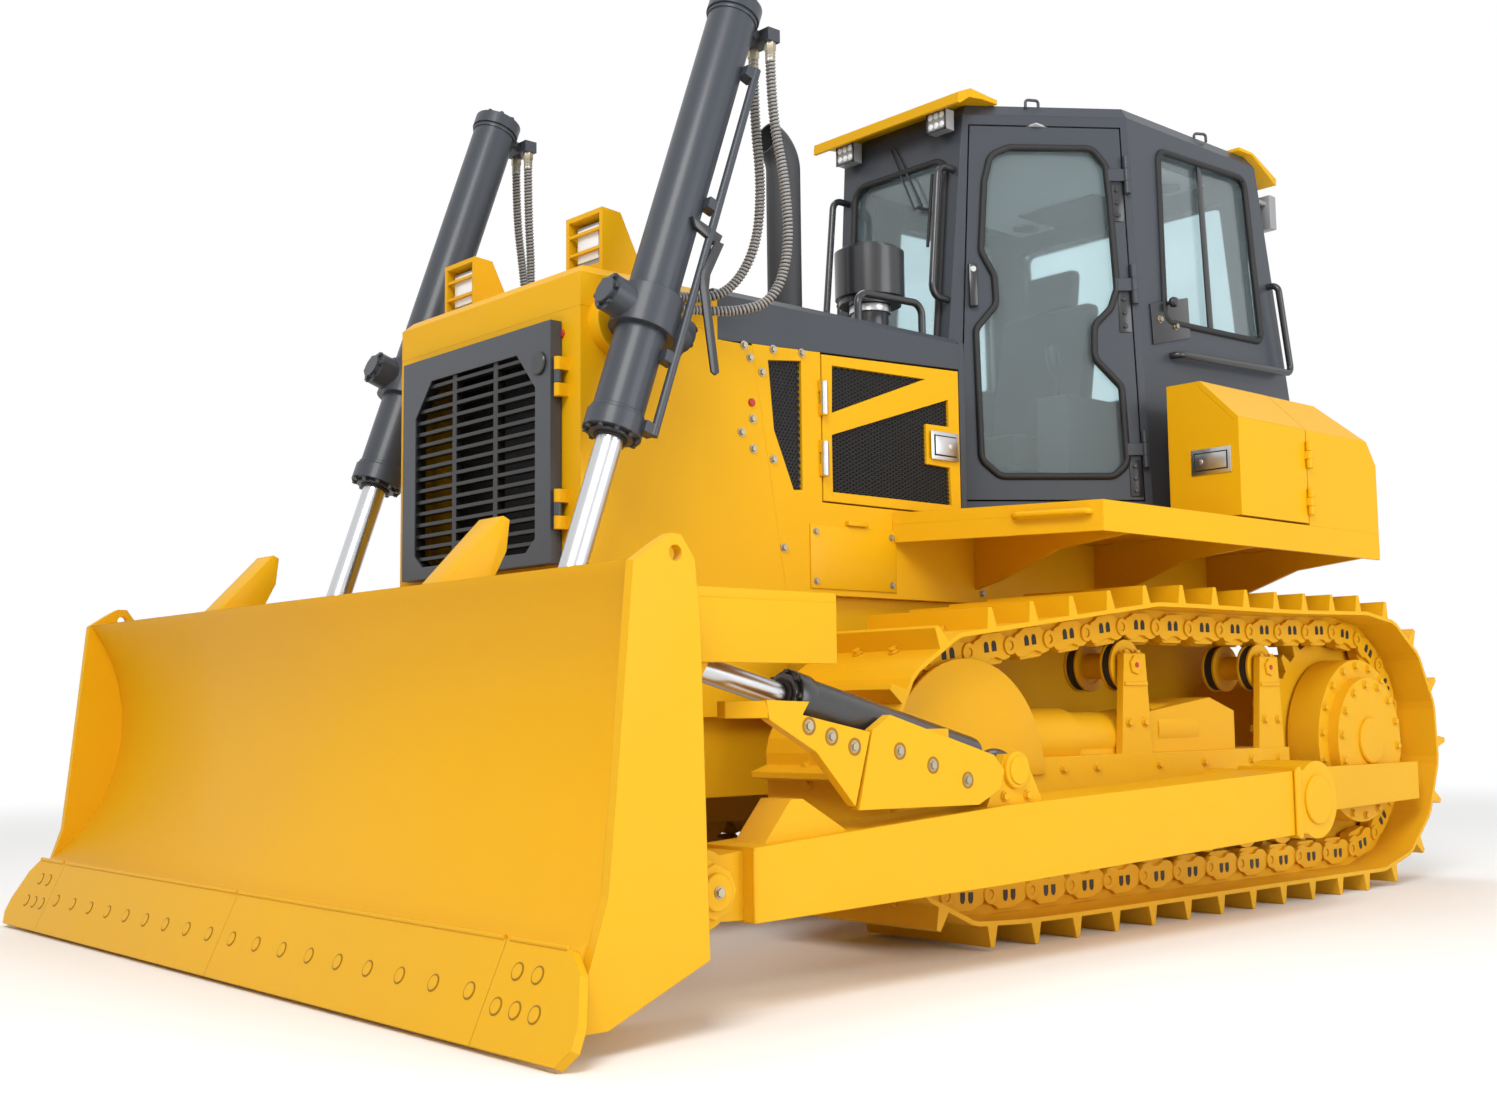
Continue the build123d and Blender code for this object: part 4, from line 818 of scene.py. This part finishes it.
def moldboard_forms():
    """Rolled front face of the blade with its back beams, lugs and rod guard."""
    face = arc(ARC_CENTRE, ARC_RADIUS, [-55.2 + 93.3 * i / 28 for i in range(29)])
    shape = Shape()
    side_slab(shape, face + MOLD_BACK, -BLADE_X, BLADE_X)
    for _, s in SIDES:
        for x in (ARM_X - 100, ARM_X + 75):
            side_slab(shape, [(-2110, 190), (-2110, 430), (-1990, 380), (-1915, 345), (-1895, 300), (-1915, 255),
                              (-1990, 220)], s * x, s * (x + 25))
        for x in (LIFT_X - 105, LIFT_X + 80):
            side_slab(shape, [(-2110, 400), (-2165, 480), (-2150, 640), (-2110, 560), (-2019, 540), (-1965, 510),
                              (-1958, 480), (-1965, 450), (-2019, 418)], s * x, s * (x + 25))
        for x in (ARM_X - 80, ARM_X + 55):
            side_slab(shape, [(-2150, 870), (-2130, 980), (-1990, 902), (-1952, 845), (-1990, 788), (-2090, 790),
                              (-2150, 760)], s * x, s * (x + 25))
    side_slab(shape, [(-1571, 833), (-1571, 1010), (-2131, 1010), (-2112, 900), (-2100, 833)], ARM_X + 92, ARM_X + 120)
    side_slab(shape, [(-1571, 986), (-1571, 1010), (-2131, 1010), (-2126, 986)], ARM_X - 50, ARM_X + 120)
    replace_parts(shape.made("blade_shell", "blade", "yellow_paint", YELLOW, 3), "moldboard")
    fins = Shape()
    for _, s in SIDES:
        side_slab(fins, [(-2262, 1040), (-2063, 1246), (-2042, 1236), (-2052, 1150), (-2136, 990)],
                  s * (LIFT_X - 60), s * (LIFT_X + 60))
    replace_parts(fins.made("blade_wedges", "blade", "yellow_paint", YELLOW, 3), "blade_fins")


def covers():
    """Closed slopes on the box doors, round idler guards and the painted hull."""
    for side, s in SIDES:
        skin = Shape()
        skin.slab([(s * x, 801.6, z) for x, z in ((1055, 1925.6), (1210.5, 1770.2), (1190, 1762), (1047, 1905))],
                  (0, 468.6, 0))
        skin.made(f"box_door_slope_{side}", f"box_door_{side}", "yellow_paint", YELLOW)
        guard = Shape()
        side_slab(guard, arc((-600, 505), 368, range(0, 181, 6)), s * 1080.2, s * 1092.8)
        guard.made(f"idler_guard_{side}", "tractor", "yellow_paint", TRACK_YELLOW, 2)
    hull = bpy.data.objects.new("hull_paint", NODES["main_frame"].data.copy())
    bpy.context.scene.collection.objects.link(hull)
    hull.data.transform(NODES["main_frame"].matrix_world)
    gathered = bmesh.new()
    gathered.from_mesh(hull.data)
    bmesh.ops.remove_doubles(gathered, verts=gathered.verts, dist=1e-6)
    gathered.to_mesh(hull.data)
    gathered.free()
    hull.data.materials.clear()
    hull.data.materials.append(YELLOW)
    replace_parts(place(hull, "tractor", "yellow_paint"), "main_frame")


moldboard_forms()
covers()


# Hood, grille and engine doors
HOOD_X = 520
GRILLE_Y = -1695
PANEL_MESH = [(-892, 1865), (-742, 1882), (-742, 1447), (-783, 1443), (-869, 1635)]
DOOR_MESH = [[(-596, 1886), (-125, 1899), (-600, 1722)],
             [(-602, 1646), (-4, 1838), (-2, 1738), (-126, 1736), (-126, 1591), (-2, 1588), (4, 1451), (-601, 1451)]]


def screen_lines(outline, x, angle, pitch):
    """Parallel wires at an angle, cut to an outline of (y, z) points."""
    ahead = Vector((math.cos(math.radians(angle)), math.sin(math.radians(angle))))
    across = Vector((-ahead.y, ahead.x))
    spans = [Vector(point).dot(across) for point in outline]
    lines = []
    for k in range(math.ceil(min(spans) / pitch), math.floor(max(spans) / pitch) + 1):
        cuts = []
        for a, b in zip(outline, outline[1:] + outline[:1]):
            near, far = Vector(a).dot(across) - k * pitch, Vector(b).dot(across) - k * pitch
            if (near < 0) != (far < 0):
                cuts.append(Vector(a).lerp(Vector(b), near / (near - far)).dot(ahead))
        cuts.sort()
        for start, end in zip(cuts[::2], cuts[1::2]):
            if end - start > 4:
                lines.append([mm(x, *(ahead * at + across * k * pitch)) for at in (start, end)])
    return lines


def screens():
    """Wire mesh over a dark sheet of painted shade in the side panels and engine doors."""
    for side, s in SIDES:
        for name, body, outlines, angle in ((f"panel_screen_{side}", "tractor", [PANEL_MESH], 55),
                                            (f"door_screen_{side}", f"engine_door_{side}", DOOR_MESH, 25)):
            lines, back = [], Shape()
            for outline in outlines:
                for turn in (angle, -angle):
                    lines += screen_lines(outline, s * (HOOD_X - 11), turn, 13)
                # Painted shade: a dark sheet behind the wire, where the space behind the mesh lies in shade.
                side_slab(back, outline, s * (HOOD_X - 21.6), s * (HOOD_X - 20))
            strips(name, body, "dark_paint", lines, 0.0042, 0.003, material=MESH_WIRE, closed=False)
            back.made(name + "_back", body, "dark_paint", GRIME_AND_SHADE)


def latch_set(door, side, plate, gap_shade, paddle):
    """Bright latch plate of a door, with painted shade in the slit round its paddle."""
    for shape, name, paint, bevel in ((plate, "latch", STAINLESS, 2), (gap_shade, "latch_gap", GRIME_AND_SHADE, 0),
                                      (paddle, "paddle", STAINLESS, 1)):
        shape.made(f"{door}_{name}_{side}", f"{door}_door_{side}", "bare_steel", paint, bevel)


def hood_panels():
    """Bolts, plugs and access panels on the hood's sides."""
    guard = [(-998, 1899), (-972, 1862), (-964, 1661), (-1012, 1612), (-962, 1563), (-870, 1903), (-740, 1909),
             (-920, 1820), (-874, 1537), (-832, 1249), (167, 1277), (161, 1137)]
    spots = [((s * HOOD_X, y, z), (s, 0, 0)) for _, s in SIDES for y, z in guard]
    bolts("hood_side_bolts", "tractor", "yellow_paint", spots, 0.0105, 0.010, washer=1.45)
    plugs = Shape()
    for _, s in SIDES:
        plugs.cap((s * HOOD_X, -968, 1714), (s, 0, 0), 13, 8, 16)
    plugs.cap((430, -1650, 1858), (0, -1, 0), 12, 7, 16)
    plugs.made("hood_plugs", "tractor", "yellow_paint", RED_CAP)
    panels = Shape()
    for _, s in SIDES:
        side_slab(panels, [(-714, 1336), (-300, 1336), (-300, 1121), (-714, 1121)], s * HOOD_X, s * (HOOD_X + 5))
        side_slab(panels, [(-543, 1340), (-446, 1340), (-446, 1356), (-543, 1356)], s * HOOD_X, s * (HOOD_X + 16))
    panels.made("lower_access_panels", "tractor", "yellow_paint", YELLOW, 2)
    spots = [((s * (HOOD_X + 5), y, z), (s, 0, 0)) for _, s in SIDES for y in (-690, -324) for z in (1146, 1312)]
    bolts("access_panel_bolts", "tractor", "yellow_paint", spots, 0.009, 0.008)


def door_latches():
    for side, s in SIDES:
        # The middle pieces in the latch recesses are painted shade: dark slabs round each paddle.
        latch, gap_shade, paddle = Shape(), Shape(), Shape()
        for shape, edge, low, high in ((latch, 0, 8, 12), (gap_shade, 14, 12, 12.6), (paddle, 19, 12.6, 16)):
            side_slab(shape, [(edge - 111, edge + 1610), (36 - edge, edge + 1610), (36 - edge, 1714 - edge),
                              (edge - 111, 1714 - edge)], s * (HOOD_X + low), s * (HOOD_X + high))
        paddle.cap((s * (HOOD_X + 16), -10, 1662), (s, 0, 0), 11, 2, 20, 1)
        latch_set("engine", side, latch, gap_shade, paddle)
        catch, gap_shade, paddle = Shape(), Shape(), Shape()
        for shape, edge, near, far in ((catch, 0, 802, 797), (gap_shade, 14, 797, 796.4), (paddle, 19, 796.4, 793)):
            low, high = sorted((s * (1008 + edge), s * (1177 - edge)))
            shape.box((low, far, 1570 + edge), (high, near, 1667 - edge))
        paddle.cap((s * 1052, 793, 1618), (0, -1, 0), 10, 2, 20, 1)
        latch_set("box", side, catch, gap_shade, paddle)
        sleeve = Shape()
        for z0, z1 in ((1499, 1621), (1706, 1826)):
            sleeve.ring((s * 532, -649, z0 + 4), (0, 0, 1), 12.2, 14, z1 - z0 - 8, 20)
        sleeve.made(f"engine_hinge_sleeves_{side}", f"engine_door_{side}", "bare_steel", STAINLESS)


def hood_fittings():
    cap = Shape().cap((372, GRILLE_Y, 1770), (0, -1, 0), 36, 9, 32, 3)
    cap.made("grille_latch", "grille_door", "dark_paint", BLACK)
    shells, lenses = Shape(), Shape()
    for _, s in SIDES:
        shells.box((s * 362 - 66, -1500, 2108), (s * 362 + 66, -1430, 2240))
        lenses.box((s * 362 - 54, -1506, 2122), (s * 362 + 54, -1500, 2228))
    shells.made("headlamp_shells", "tractor", "dark_paint", LAMP_SHELL, 4)
    lenses.made("headlamp_lenses", "tractor", "lamp_lens", LENS, 2)
    clamp = Shape()
    clamp.ring((200, -69, 2205), (0, 0, 1), 70.5, 78, 27, 40)
    clamp.made("precleaner_clamp", "tractor", "bare_steel", STAINLESS)
    stack = Shape()
    stack.ring((150, -464, 2076), (0, 0, 1), 60, 92, 10, 40)
    stack.made("stack_flange", "tractor", "dark_paint", SOOT, 2)


LAMP_X = 253
CAB_FOOT, CAB_RISE = 1400, 1650


def lean(foot, run, z):
    """Where a leaning cab wall lies at a height, from its foot and its run up to the roof."""
    return foot + run / CAB_RISE * (z - CAB_FOOT)


def cab_walls():
    """Door seals, handles and hinges, and the seals of the fixed panes."""
    door_along = Vector((505, 686, 0)).normalized()
    door_out = door_along.cross(Vector((441, 687, CAB_RISE))).normalized()
    door_up = door_out.cross(door_along)
    window = [(255, 1483), (330, 1518), (665, 1521), (720, 1451), (728, 1334), (744, 952), (714, 869), (646, 802),
              (641, 672), (745, 559), (755, 252), (701, 204), (252, 203), (180, 267), (175, 781), (259, 880),
              (255, 994), (205, 1092), (227, 1374)]

    def on_door(s, along, up, out):
        point = Vector((279, 193, CAB_FOOT)) + door_along * along + door_up * up + door_out * out
        return (s * point.x, point.y, point.z)

    def outward(s, depth=1):
        return (s * door_out.x * depth, door_out.y * depth, door_out.z * depth)

    side_pane = [(1045, 2270), (1075, 2935), (1105, 2962), (1690, 2978), (1722, 2950), (1762, 2290), (1740, 2262),
                 (1070, 2246)]
    front_pane = [(205, 2110), (240, 2145), (250, 2850), (215, 2885), (-215, 2885), (-250, 2850), (-240, 2145),
                  (-205, 2110)]
    rear_pane = [(-560, 2150), (-550, 2930), (550, 2930), (560, 2150)]
    walls = []
    for side, s in SIDES:
        strips(f"door_seal_{side}", f"cab_door_{side}", "dark_paint",
               [[mm(*on_door(s, along, up, 3)) for along, up in window]], 0.027, bend=0.055, as_round=True)
        walls.append([mm(s * lean(786, -64, z), y, z) for y, z in side_pane])
        handle = Shape()
        grip = [on_door(s, a, h, 1) for a, h in ((150, 868), (184, 868), (184, 1040), (150, 1040))]
        handle.slab(grip, outward(s, 24))
        handle.made(f"door_handle_{side}", f"cab_door_{side}", "dark_paint", BLACK, 6)
        lock = Shape().cap(on_door(s, 167, 1015, 25), outward(s), 12, 4, 20, 1)
        lock.made(f"door_lock_{side}", f"cab_door_{side}", "bare_steel", STAINLESS)
        leaf, plates = [], Shape()
        for low, high in ((125, 269), (775, 932), (1223, 1375)):
            leaf += [(on_door(s, 786 - 0.0228 * (h - 112), h, 4), outward(s))
                     for h in (low + 24, (low + high) / 2, high - 24)]
            edge = 815 - 0.0228 * (low - 112)
            plates.slab([on_door(s, a, h, 0.5) for a, h in ((edge - 52, low), (edge - 4, low), (edge - 4, high),
                                                            (edge - 52, high))], outward(s, 4))
        plates.made(f"door_hinge_leaves_{side}", f"cab_door_{side}", "dark_paint", BLACK, 1)
        bolts(f"door_hinge_bolts_{side}", f"cab_door_{side}", "dark_paint", leaf, 0.0085, 0.007, material=BLACK)
        mullion = Shape()
        mullion.slab([(s * lean(787, -64, z), y, z) for y, z in
                      ((1361, 2258), (1395, 2258), (1395, 2968), (1361, 2968))], (-s * 10, 0, 0))
        mullion.made(f"side_mullion_{side}", "tractor", "dark_paint", BLACK, 2)
    walls.append([mm(x, lean(190, 151.9, z), z) for x, z in front_pane])
    walls.append([mm(x, lean(2049, -228, z), z) for x, z in rear_pane])
    strips("window_seals", "tractor", "dark_paint", walls, 0.027, bend=0.055, as_round=True)


def side_latch_and_wiper():
    plate = Shape()
    plate.slab([(758, 951, 2136), (756, 1212, 2201), (750, 1213, 2368), (752, 946, 2301)], (5, 0, 0))
    plate.made("side_latch_plate", "tractor", "dark_paint", BLACK, 2)
    knob = Shape().turned([(0, 0), (7, 0), (7, 18), (19, 24), (22, 36), (17, 48), (0, 53)], (755, 1057, 2318),
                          (1, 0, 0))
    knob.made("side_latch_knob", "tractor", "dark_paint", BLACK)
    studs = [((758, 1001, 2245), (1, 0, 0)), ((758, 1110, 2233), (1, 0, 0))]
    bolts("side_latch_studs", "tractor", "bare_steel", studs, 0.011, 0.012)
    wiper = [[mm(-55, 332, 3009), mm(95, 308, 2713)], [mm(-30, 332, 3009), mm(136, 308, 2718)],
             [mm(95, 308, 2713), mm(136, 308, 2718)]]
    strips("wiper_arms", "tractor", "dark_paint", wiper, 0.009, material=BLACK, as_round=True, closed=False)
    blade = [[mm(185, 318, 2838), mm(175, 292, 2539)], [mm(115, 306, 2715), mm(180, 305, 2690)]]
    strips("wiper_blade", "tractor", "dark_paint", blade, 0.013, material=RUBBER, as_round=True, closed=False)


def roof_details():
    """Work lamps, rear cap ends, headliner and lifting loops."""
    lamps = Shape()
    for _, s in SIDES:
        for column in (-1, 0, 1):
            for row in (0, 1):
                x, z = s * LAMP_X + column * 29, 3007 + row * 38
                lamps.turned([(0, 0), (13, 0), (13, 3), (9, 6), (0, 7)], (x, 272, z), (0, -1, 0), 20)
    lamps.made("roof_lamp_lenses", "tractor", "lamp_lens", LENS)
    rims = Shape()
    for _, s in SIDES:
        for x0, z0, x1, z1 in ((-50, 2983, 50, 2990), (-50, 3061, 50, 3068), (-50, 2983, -44, 3068),
                               (44, 2983, 50, 3068)):
            rims.box((s * LAMP_X + x0, 268, z0), (s * LAMP_X + x1, 273, z1))
    brackets, rear_lens, rear_cap = Shape(), Shape(), Shape()
    for _, s in SIDES:
        low, high = sorted((s * 652, s * 728))
        brackets.box((low, 1922, 2800), (high, 1972, 2950))
        brackets.box((s * 690 - 18, 1830, 2905), (s * 690 + 18, 1925, 2925))
        rear_lens.box((low + 7, 1972, 2808), (high - 7, 1977, 2942))
        side_slab(rear_cap, [(1690, 3098.2), (1690, 3114), (1800, 3112), (1985, 3034), (1985, 3004), (1972, 3004),
                             (1795, 3098.2)], s * 500, s * 728)
    brackets.made("rear_lamp_shells", "tractor", "dark_paint", LAMP_SHELL, 4)
    rear_lens.made("rear_lamp_lenses", "tractor", "lamp_lens", LENS, 2)
    rear_cap.made("rear_cap_ends", "tractor", "yellow_paint", YELLOW, 3)
    rims.made("roof_lamp_rims", "tractor", "dark_paint", BLACK)
    liner = Shape().box((-520, 560, 3006), (520, 1760, 3014))
    liner.made("headliner", "tractor", "dark_paint", HEADLINER, 3)
    speakers = Shape()
    for x, y in ((-400, 1640), (386, 1640)):
        speakers.turned([(0, 0), (60, 0), (60, 6), (0, 6)], (x, y, 3005), (0, 0, -1), 32)
    speakers.box((-300, 1460, 2999), (135, 1740, 3005))
    speakers.made("headliner_fittings", "tractor", "dark_paint", GRIME_AND_SHADE)
    loops = []
    for _, s in SIDES:
        for x, y in ((463, 568), (680, 1420)):
            far = s * (x + 26), y + 48
            loops.append([mm(s * x, y, 3090), mm(s * x, y, 3124), mm(*far, 3124), mm(*far, 3090)])
    strips("roof_loops", "tractor", "dark_paint", loops, 0.012, bend=0.012, material=CHARCOAL, as_round=True,
           closed=False)


def grips_and_levers():
    grips = []
    for _, s in SIDES:
        ends = [Vector((931, -148, 1362)), Vector((1170, -53, 1362))]
        out = Vector((0.371, -0.929, 0)) * 26
        grips.append([mm(s * point.x, point.y, point.z) for point in (ends[0], ends[0] + out, ends[1] + out, ends[1])])
    strips("deck_grips", "tractor", "yellow_paint", grips, 0.022, bend=0.02, material=YELLOW, as_round=True,
           closed=False)
    levers = Shape()
    for x, y in ((400, 800), (-400, 800)):
        levers.turned([(0, 0), (9, 0), (9, 110), (24, 120), (26, 200), (18, 214), (0, 216)], (x, y, 1960),
                      (0, -0.15, 1))
    levers.box((180, 330, 2060), (330, 380, 2190))
    levers.made("operator_levers", "tractor", "dark_paint", BLACK, 3)


def seat_cushions():
    shape = Shape().box((-260, 700, 1692), (260, 1240, 1829))
    side_slab(shape, [(1120, 1828), (1230, 1828), (1340, 2462), (1250, 2462)], -240, 240)
    side_slab(shape, [(1262, 2460), (1338, 2460), (1362, 2638), (1290, 2638)], -130, 130)
    shape.box((-220, 820, 1440), (220, 1200, 1694))
    seat = shape.made("seat_cushions", "tractor", "seat_fabric", SEAT_CLOTH, 28)
    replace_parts(seat, "operator_seat")


screens()
hood_panels()
door_latches()
hood_fittings()
cab_walls()
side_latch_and_wiper()
roof_details()
grips_and_levers()
seat_cushions()


# Lift cylinders and hoses
GIMBAL, LIFT_EYE = (-1527, 1886), (-2019, 480)
LIFT_WAY = Vector((0, GIMBAL[0] - LIFT_EYE[0], GIMBAL[1] - LIFT_EYE[1])).normalized()
LIFT_TOP, LIFT_FOOT = 1117, -391
HOSES = {
    "a": [(640, -1050, 2837.7), (640, -1050, 2620), (648, -1028, 2390), (638, -1045, 2180), (600, -1130, 2030),
          (545, -1250, 2005), (545, -1349.7, 2005)],
    "b": [(720, -1050, 2837.7), (720, -1050, 2620), (735, -1005, 2390), (728, -985, 2160), (690, -1020, 2010),
          (640, -1120, 1968), (565, -1250, 1965), (565, -1349.7, 1965)]}


def lift_spot(s, along):
    return Vector((s * LIFT_X, *GIMBAL)) + LIFT_WAY * along


def lift_details():
    """Bands, bolts, rod, seal and hose hanger of each lift cylinder."""
    for side, s in SIDES:
        bands = Shape()
        bands.ring(lift_spot(s, LIFT_FOOT + 55), LIFT_WAY, 76, 82, 14, 48)
        bands.ring(lift_spot(s, LIFT_TOP - 60), LIFT_WAY, 76, 81, 14, 48)
        bands.cap(lift_spot(s, LIFT_TOP), LIFT_WAY, 60, 8, 40, 3)
        bands.ring(lift_spot(s, LIFT_FOOT - 10), LIFT_WAY, 41, 66, 10, 48)
        bands.made(f"lift_bands_{side}", f"lift_barrel_{side}", "dark_paint", CHARCOAL, 1)
        heads = around(lift_spot(s, LIFT_FOOT), -LIFT_WAY, 77, 10) + around(lift_spot(s, LIFT_TOP), LIFT_WAY, 72, 10)
        bolts(f"lift_head_bolts_{side}", f"lift_barrel_{side}", "dark_paint", heads, 0.008, 0.009, material=CHARCOAL)
        rod = Shape().ring(lift_spot(s, LIFT_FOOT - 1035), LIFT_WAY, 39, 40.12, 1100, 72)
        rod.made(f"lift_rod_chrome_{side}", f"lift_rod_{side}", "bare_steel", CHROME)
        cap_way = Vector((0, LIFT_WAY.z, -LIFT_WAY.y))
        centre = lift_spot(s, 0)
        heads = [spot for way in (cap_way, -cap_way) for spot in around(centre + way * 150, way, 49, 6, 20)]
        bolts(f"yoke_bolts_{side}", f"lift_barrel_{side}", "dark_paint", heads, 0.008, 0.008, material=BLACK)
        hanger = Shape()
        side_slab(hanger, [(-1420, 2188), (-1305, 2147), (-1323, 2112), (-1412, 2155)], s * 757, s * 775)
        side_slab(hanger, [(-1340, 2125), (-1306, 2120), (-1362, 2015), (-1368, 1973), (-1330, 1723), (-1346, 1712),
                           (-1362, 1721), (-1402, 1973), (-1396, 2018)], s * 775, s * 783)
        hanger.made(f"hose_hanger_{side}", f"lift_barrel_{side}", "dark_paint", BLACK, 2)
        wiper = Shape().ring(lift_spot(s, LIFT_FOOT - 16), LIFT_WAY, 41, 50, 7, 72)
        wiper.made(f"lift_rod_wiper_{side}", f"lift_barrel_{side}", "hose_rubber", RUBBER)


def hose_run(points):
    """Points along a curve that follows a hose's route."""
    curve = bpy.data.curves.new("hose_line", "CURVE")
    curve.dimensions = "3D"
    curve.resolution_u = 14
    spline = curve.splines.new("NURBS")
    spline.points.add(len(points) - 1)
    for point, spot in zip(spline.points, points):
        point.co = (*mm(*spot), 1)
    spline.order_u = 3
    spline.use_endpoint_u = True
    line = bpy.data.objects.new("hose_line", curve)
    bpy.context.scene.collection.objects.link(line)
    line = realized(line)
    run = [vertex.co.copy() for vertex in line.data.vertices]
    bpy.data.objects.remove(line)
    return run


HOSE_WIDTH, WRAP_WIDTH = 0.026, 0.0085
WRAP_RADIUS, WRAP_STEP, WRAP_POINTS = 0.0125, 0.0015, 8


def wrap_round(run):
    """Points of a coil laid round a run of points."""
    side_way = Vector((1, 0, 0))
    wrap = []
    for a, b in zip(run, run[1:]):
        ahead = (b - a).normalized()
        side_way = (side_way - ahead * side_way.dot(ahead)).normalized()
        across = ahead.cross(side_way)
        steps = max(2, round((b - a).length / WRAP_STEP))
        for k in range(steps):
            turn = 2 * math.pi * (len(wrap) % WRAP_POINTS) / WRAP_POINTS
            wrap.append(a.lerp(b, k / steps) + WRAP_RADIUS * (math.cos(turn) * side_way + math.sin(turn) * across))
    return wrap


def hose_fitting(name, body, spot, way, neck, length):
    shape = Shape()
    shape.turned([(0, 0), (19, 0), (19, neck), (16, neck + 4), (16, length), (0, length)], spot, way, 6)
    shape.made(name, body, "bare_steel", ZINC)


def hoses():
    for side, s in SIDES:
        for name, route in HOSES.items():
            route = [(s * x, y, z) for x, y, z in route]
            run = hose_run(route)
            for part, points, width, material in (("core", run, HOSE_WIDTH, RUBBER),
                                                  ("wrap", wrap_round(run), WRAP_WIDTH, CABLE)):
                piece = plain_mesh(f"lift_hose_{name}_{side}_{part}", points, chain(points))
                with_nodes(piece, STRIPS, width=width, bend=0.0, material=material, round=True)
                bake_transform(piece)
                if part == "core":
                    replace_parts(piece, f"lift_hose_{name}_{side}")
            x, y, z = route[-1]
            hose_fitting(f"hose_top_fitting_{name}_{side}", f"lift_barrel_{side}", (route[0][0], -1050, 2838),
                         (0, 0, -1), 26, 62)
            hose_fitting(f"hose_low_fitting_{name}_{side}", "tractor", (x, y - 1, z), (0, 1, 0), 24, 56)


lift_details()
hoses()
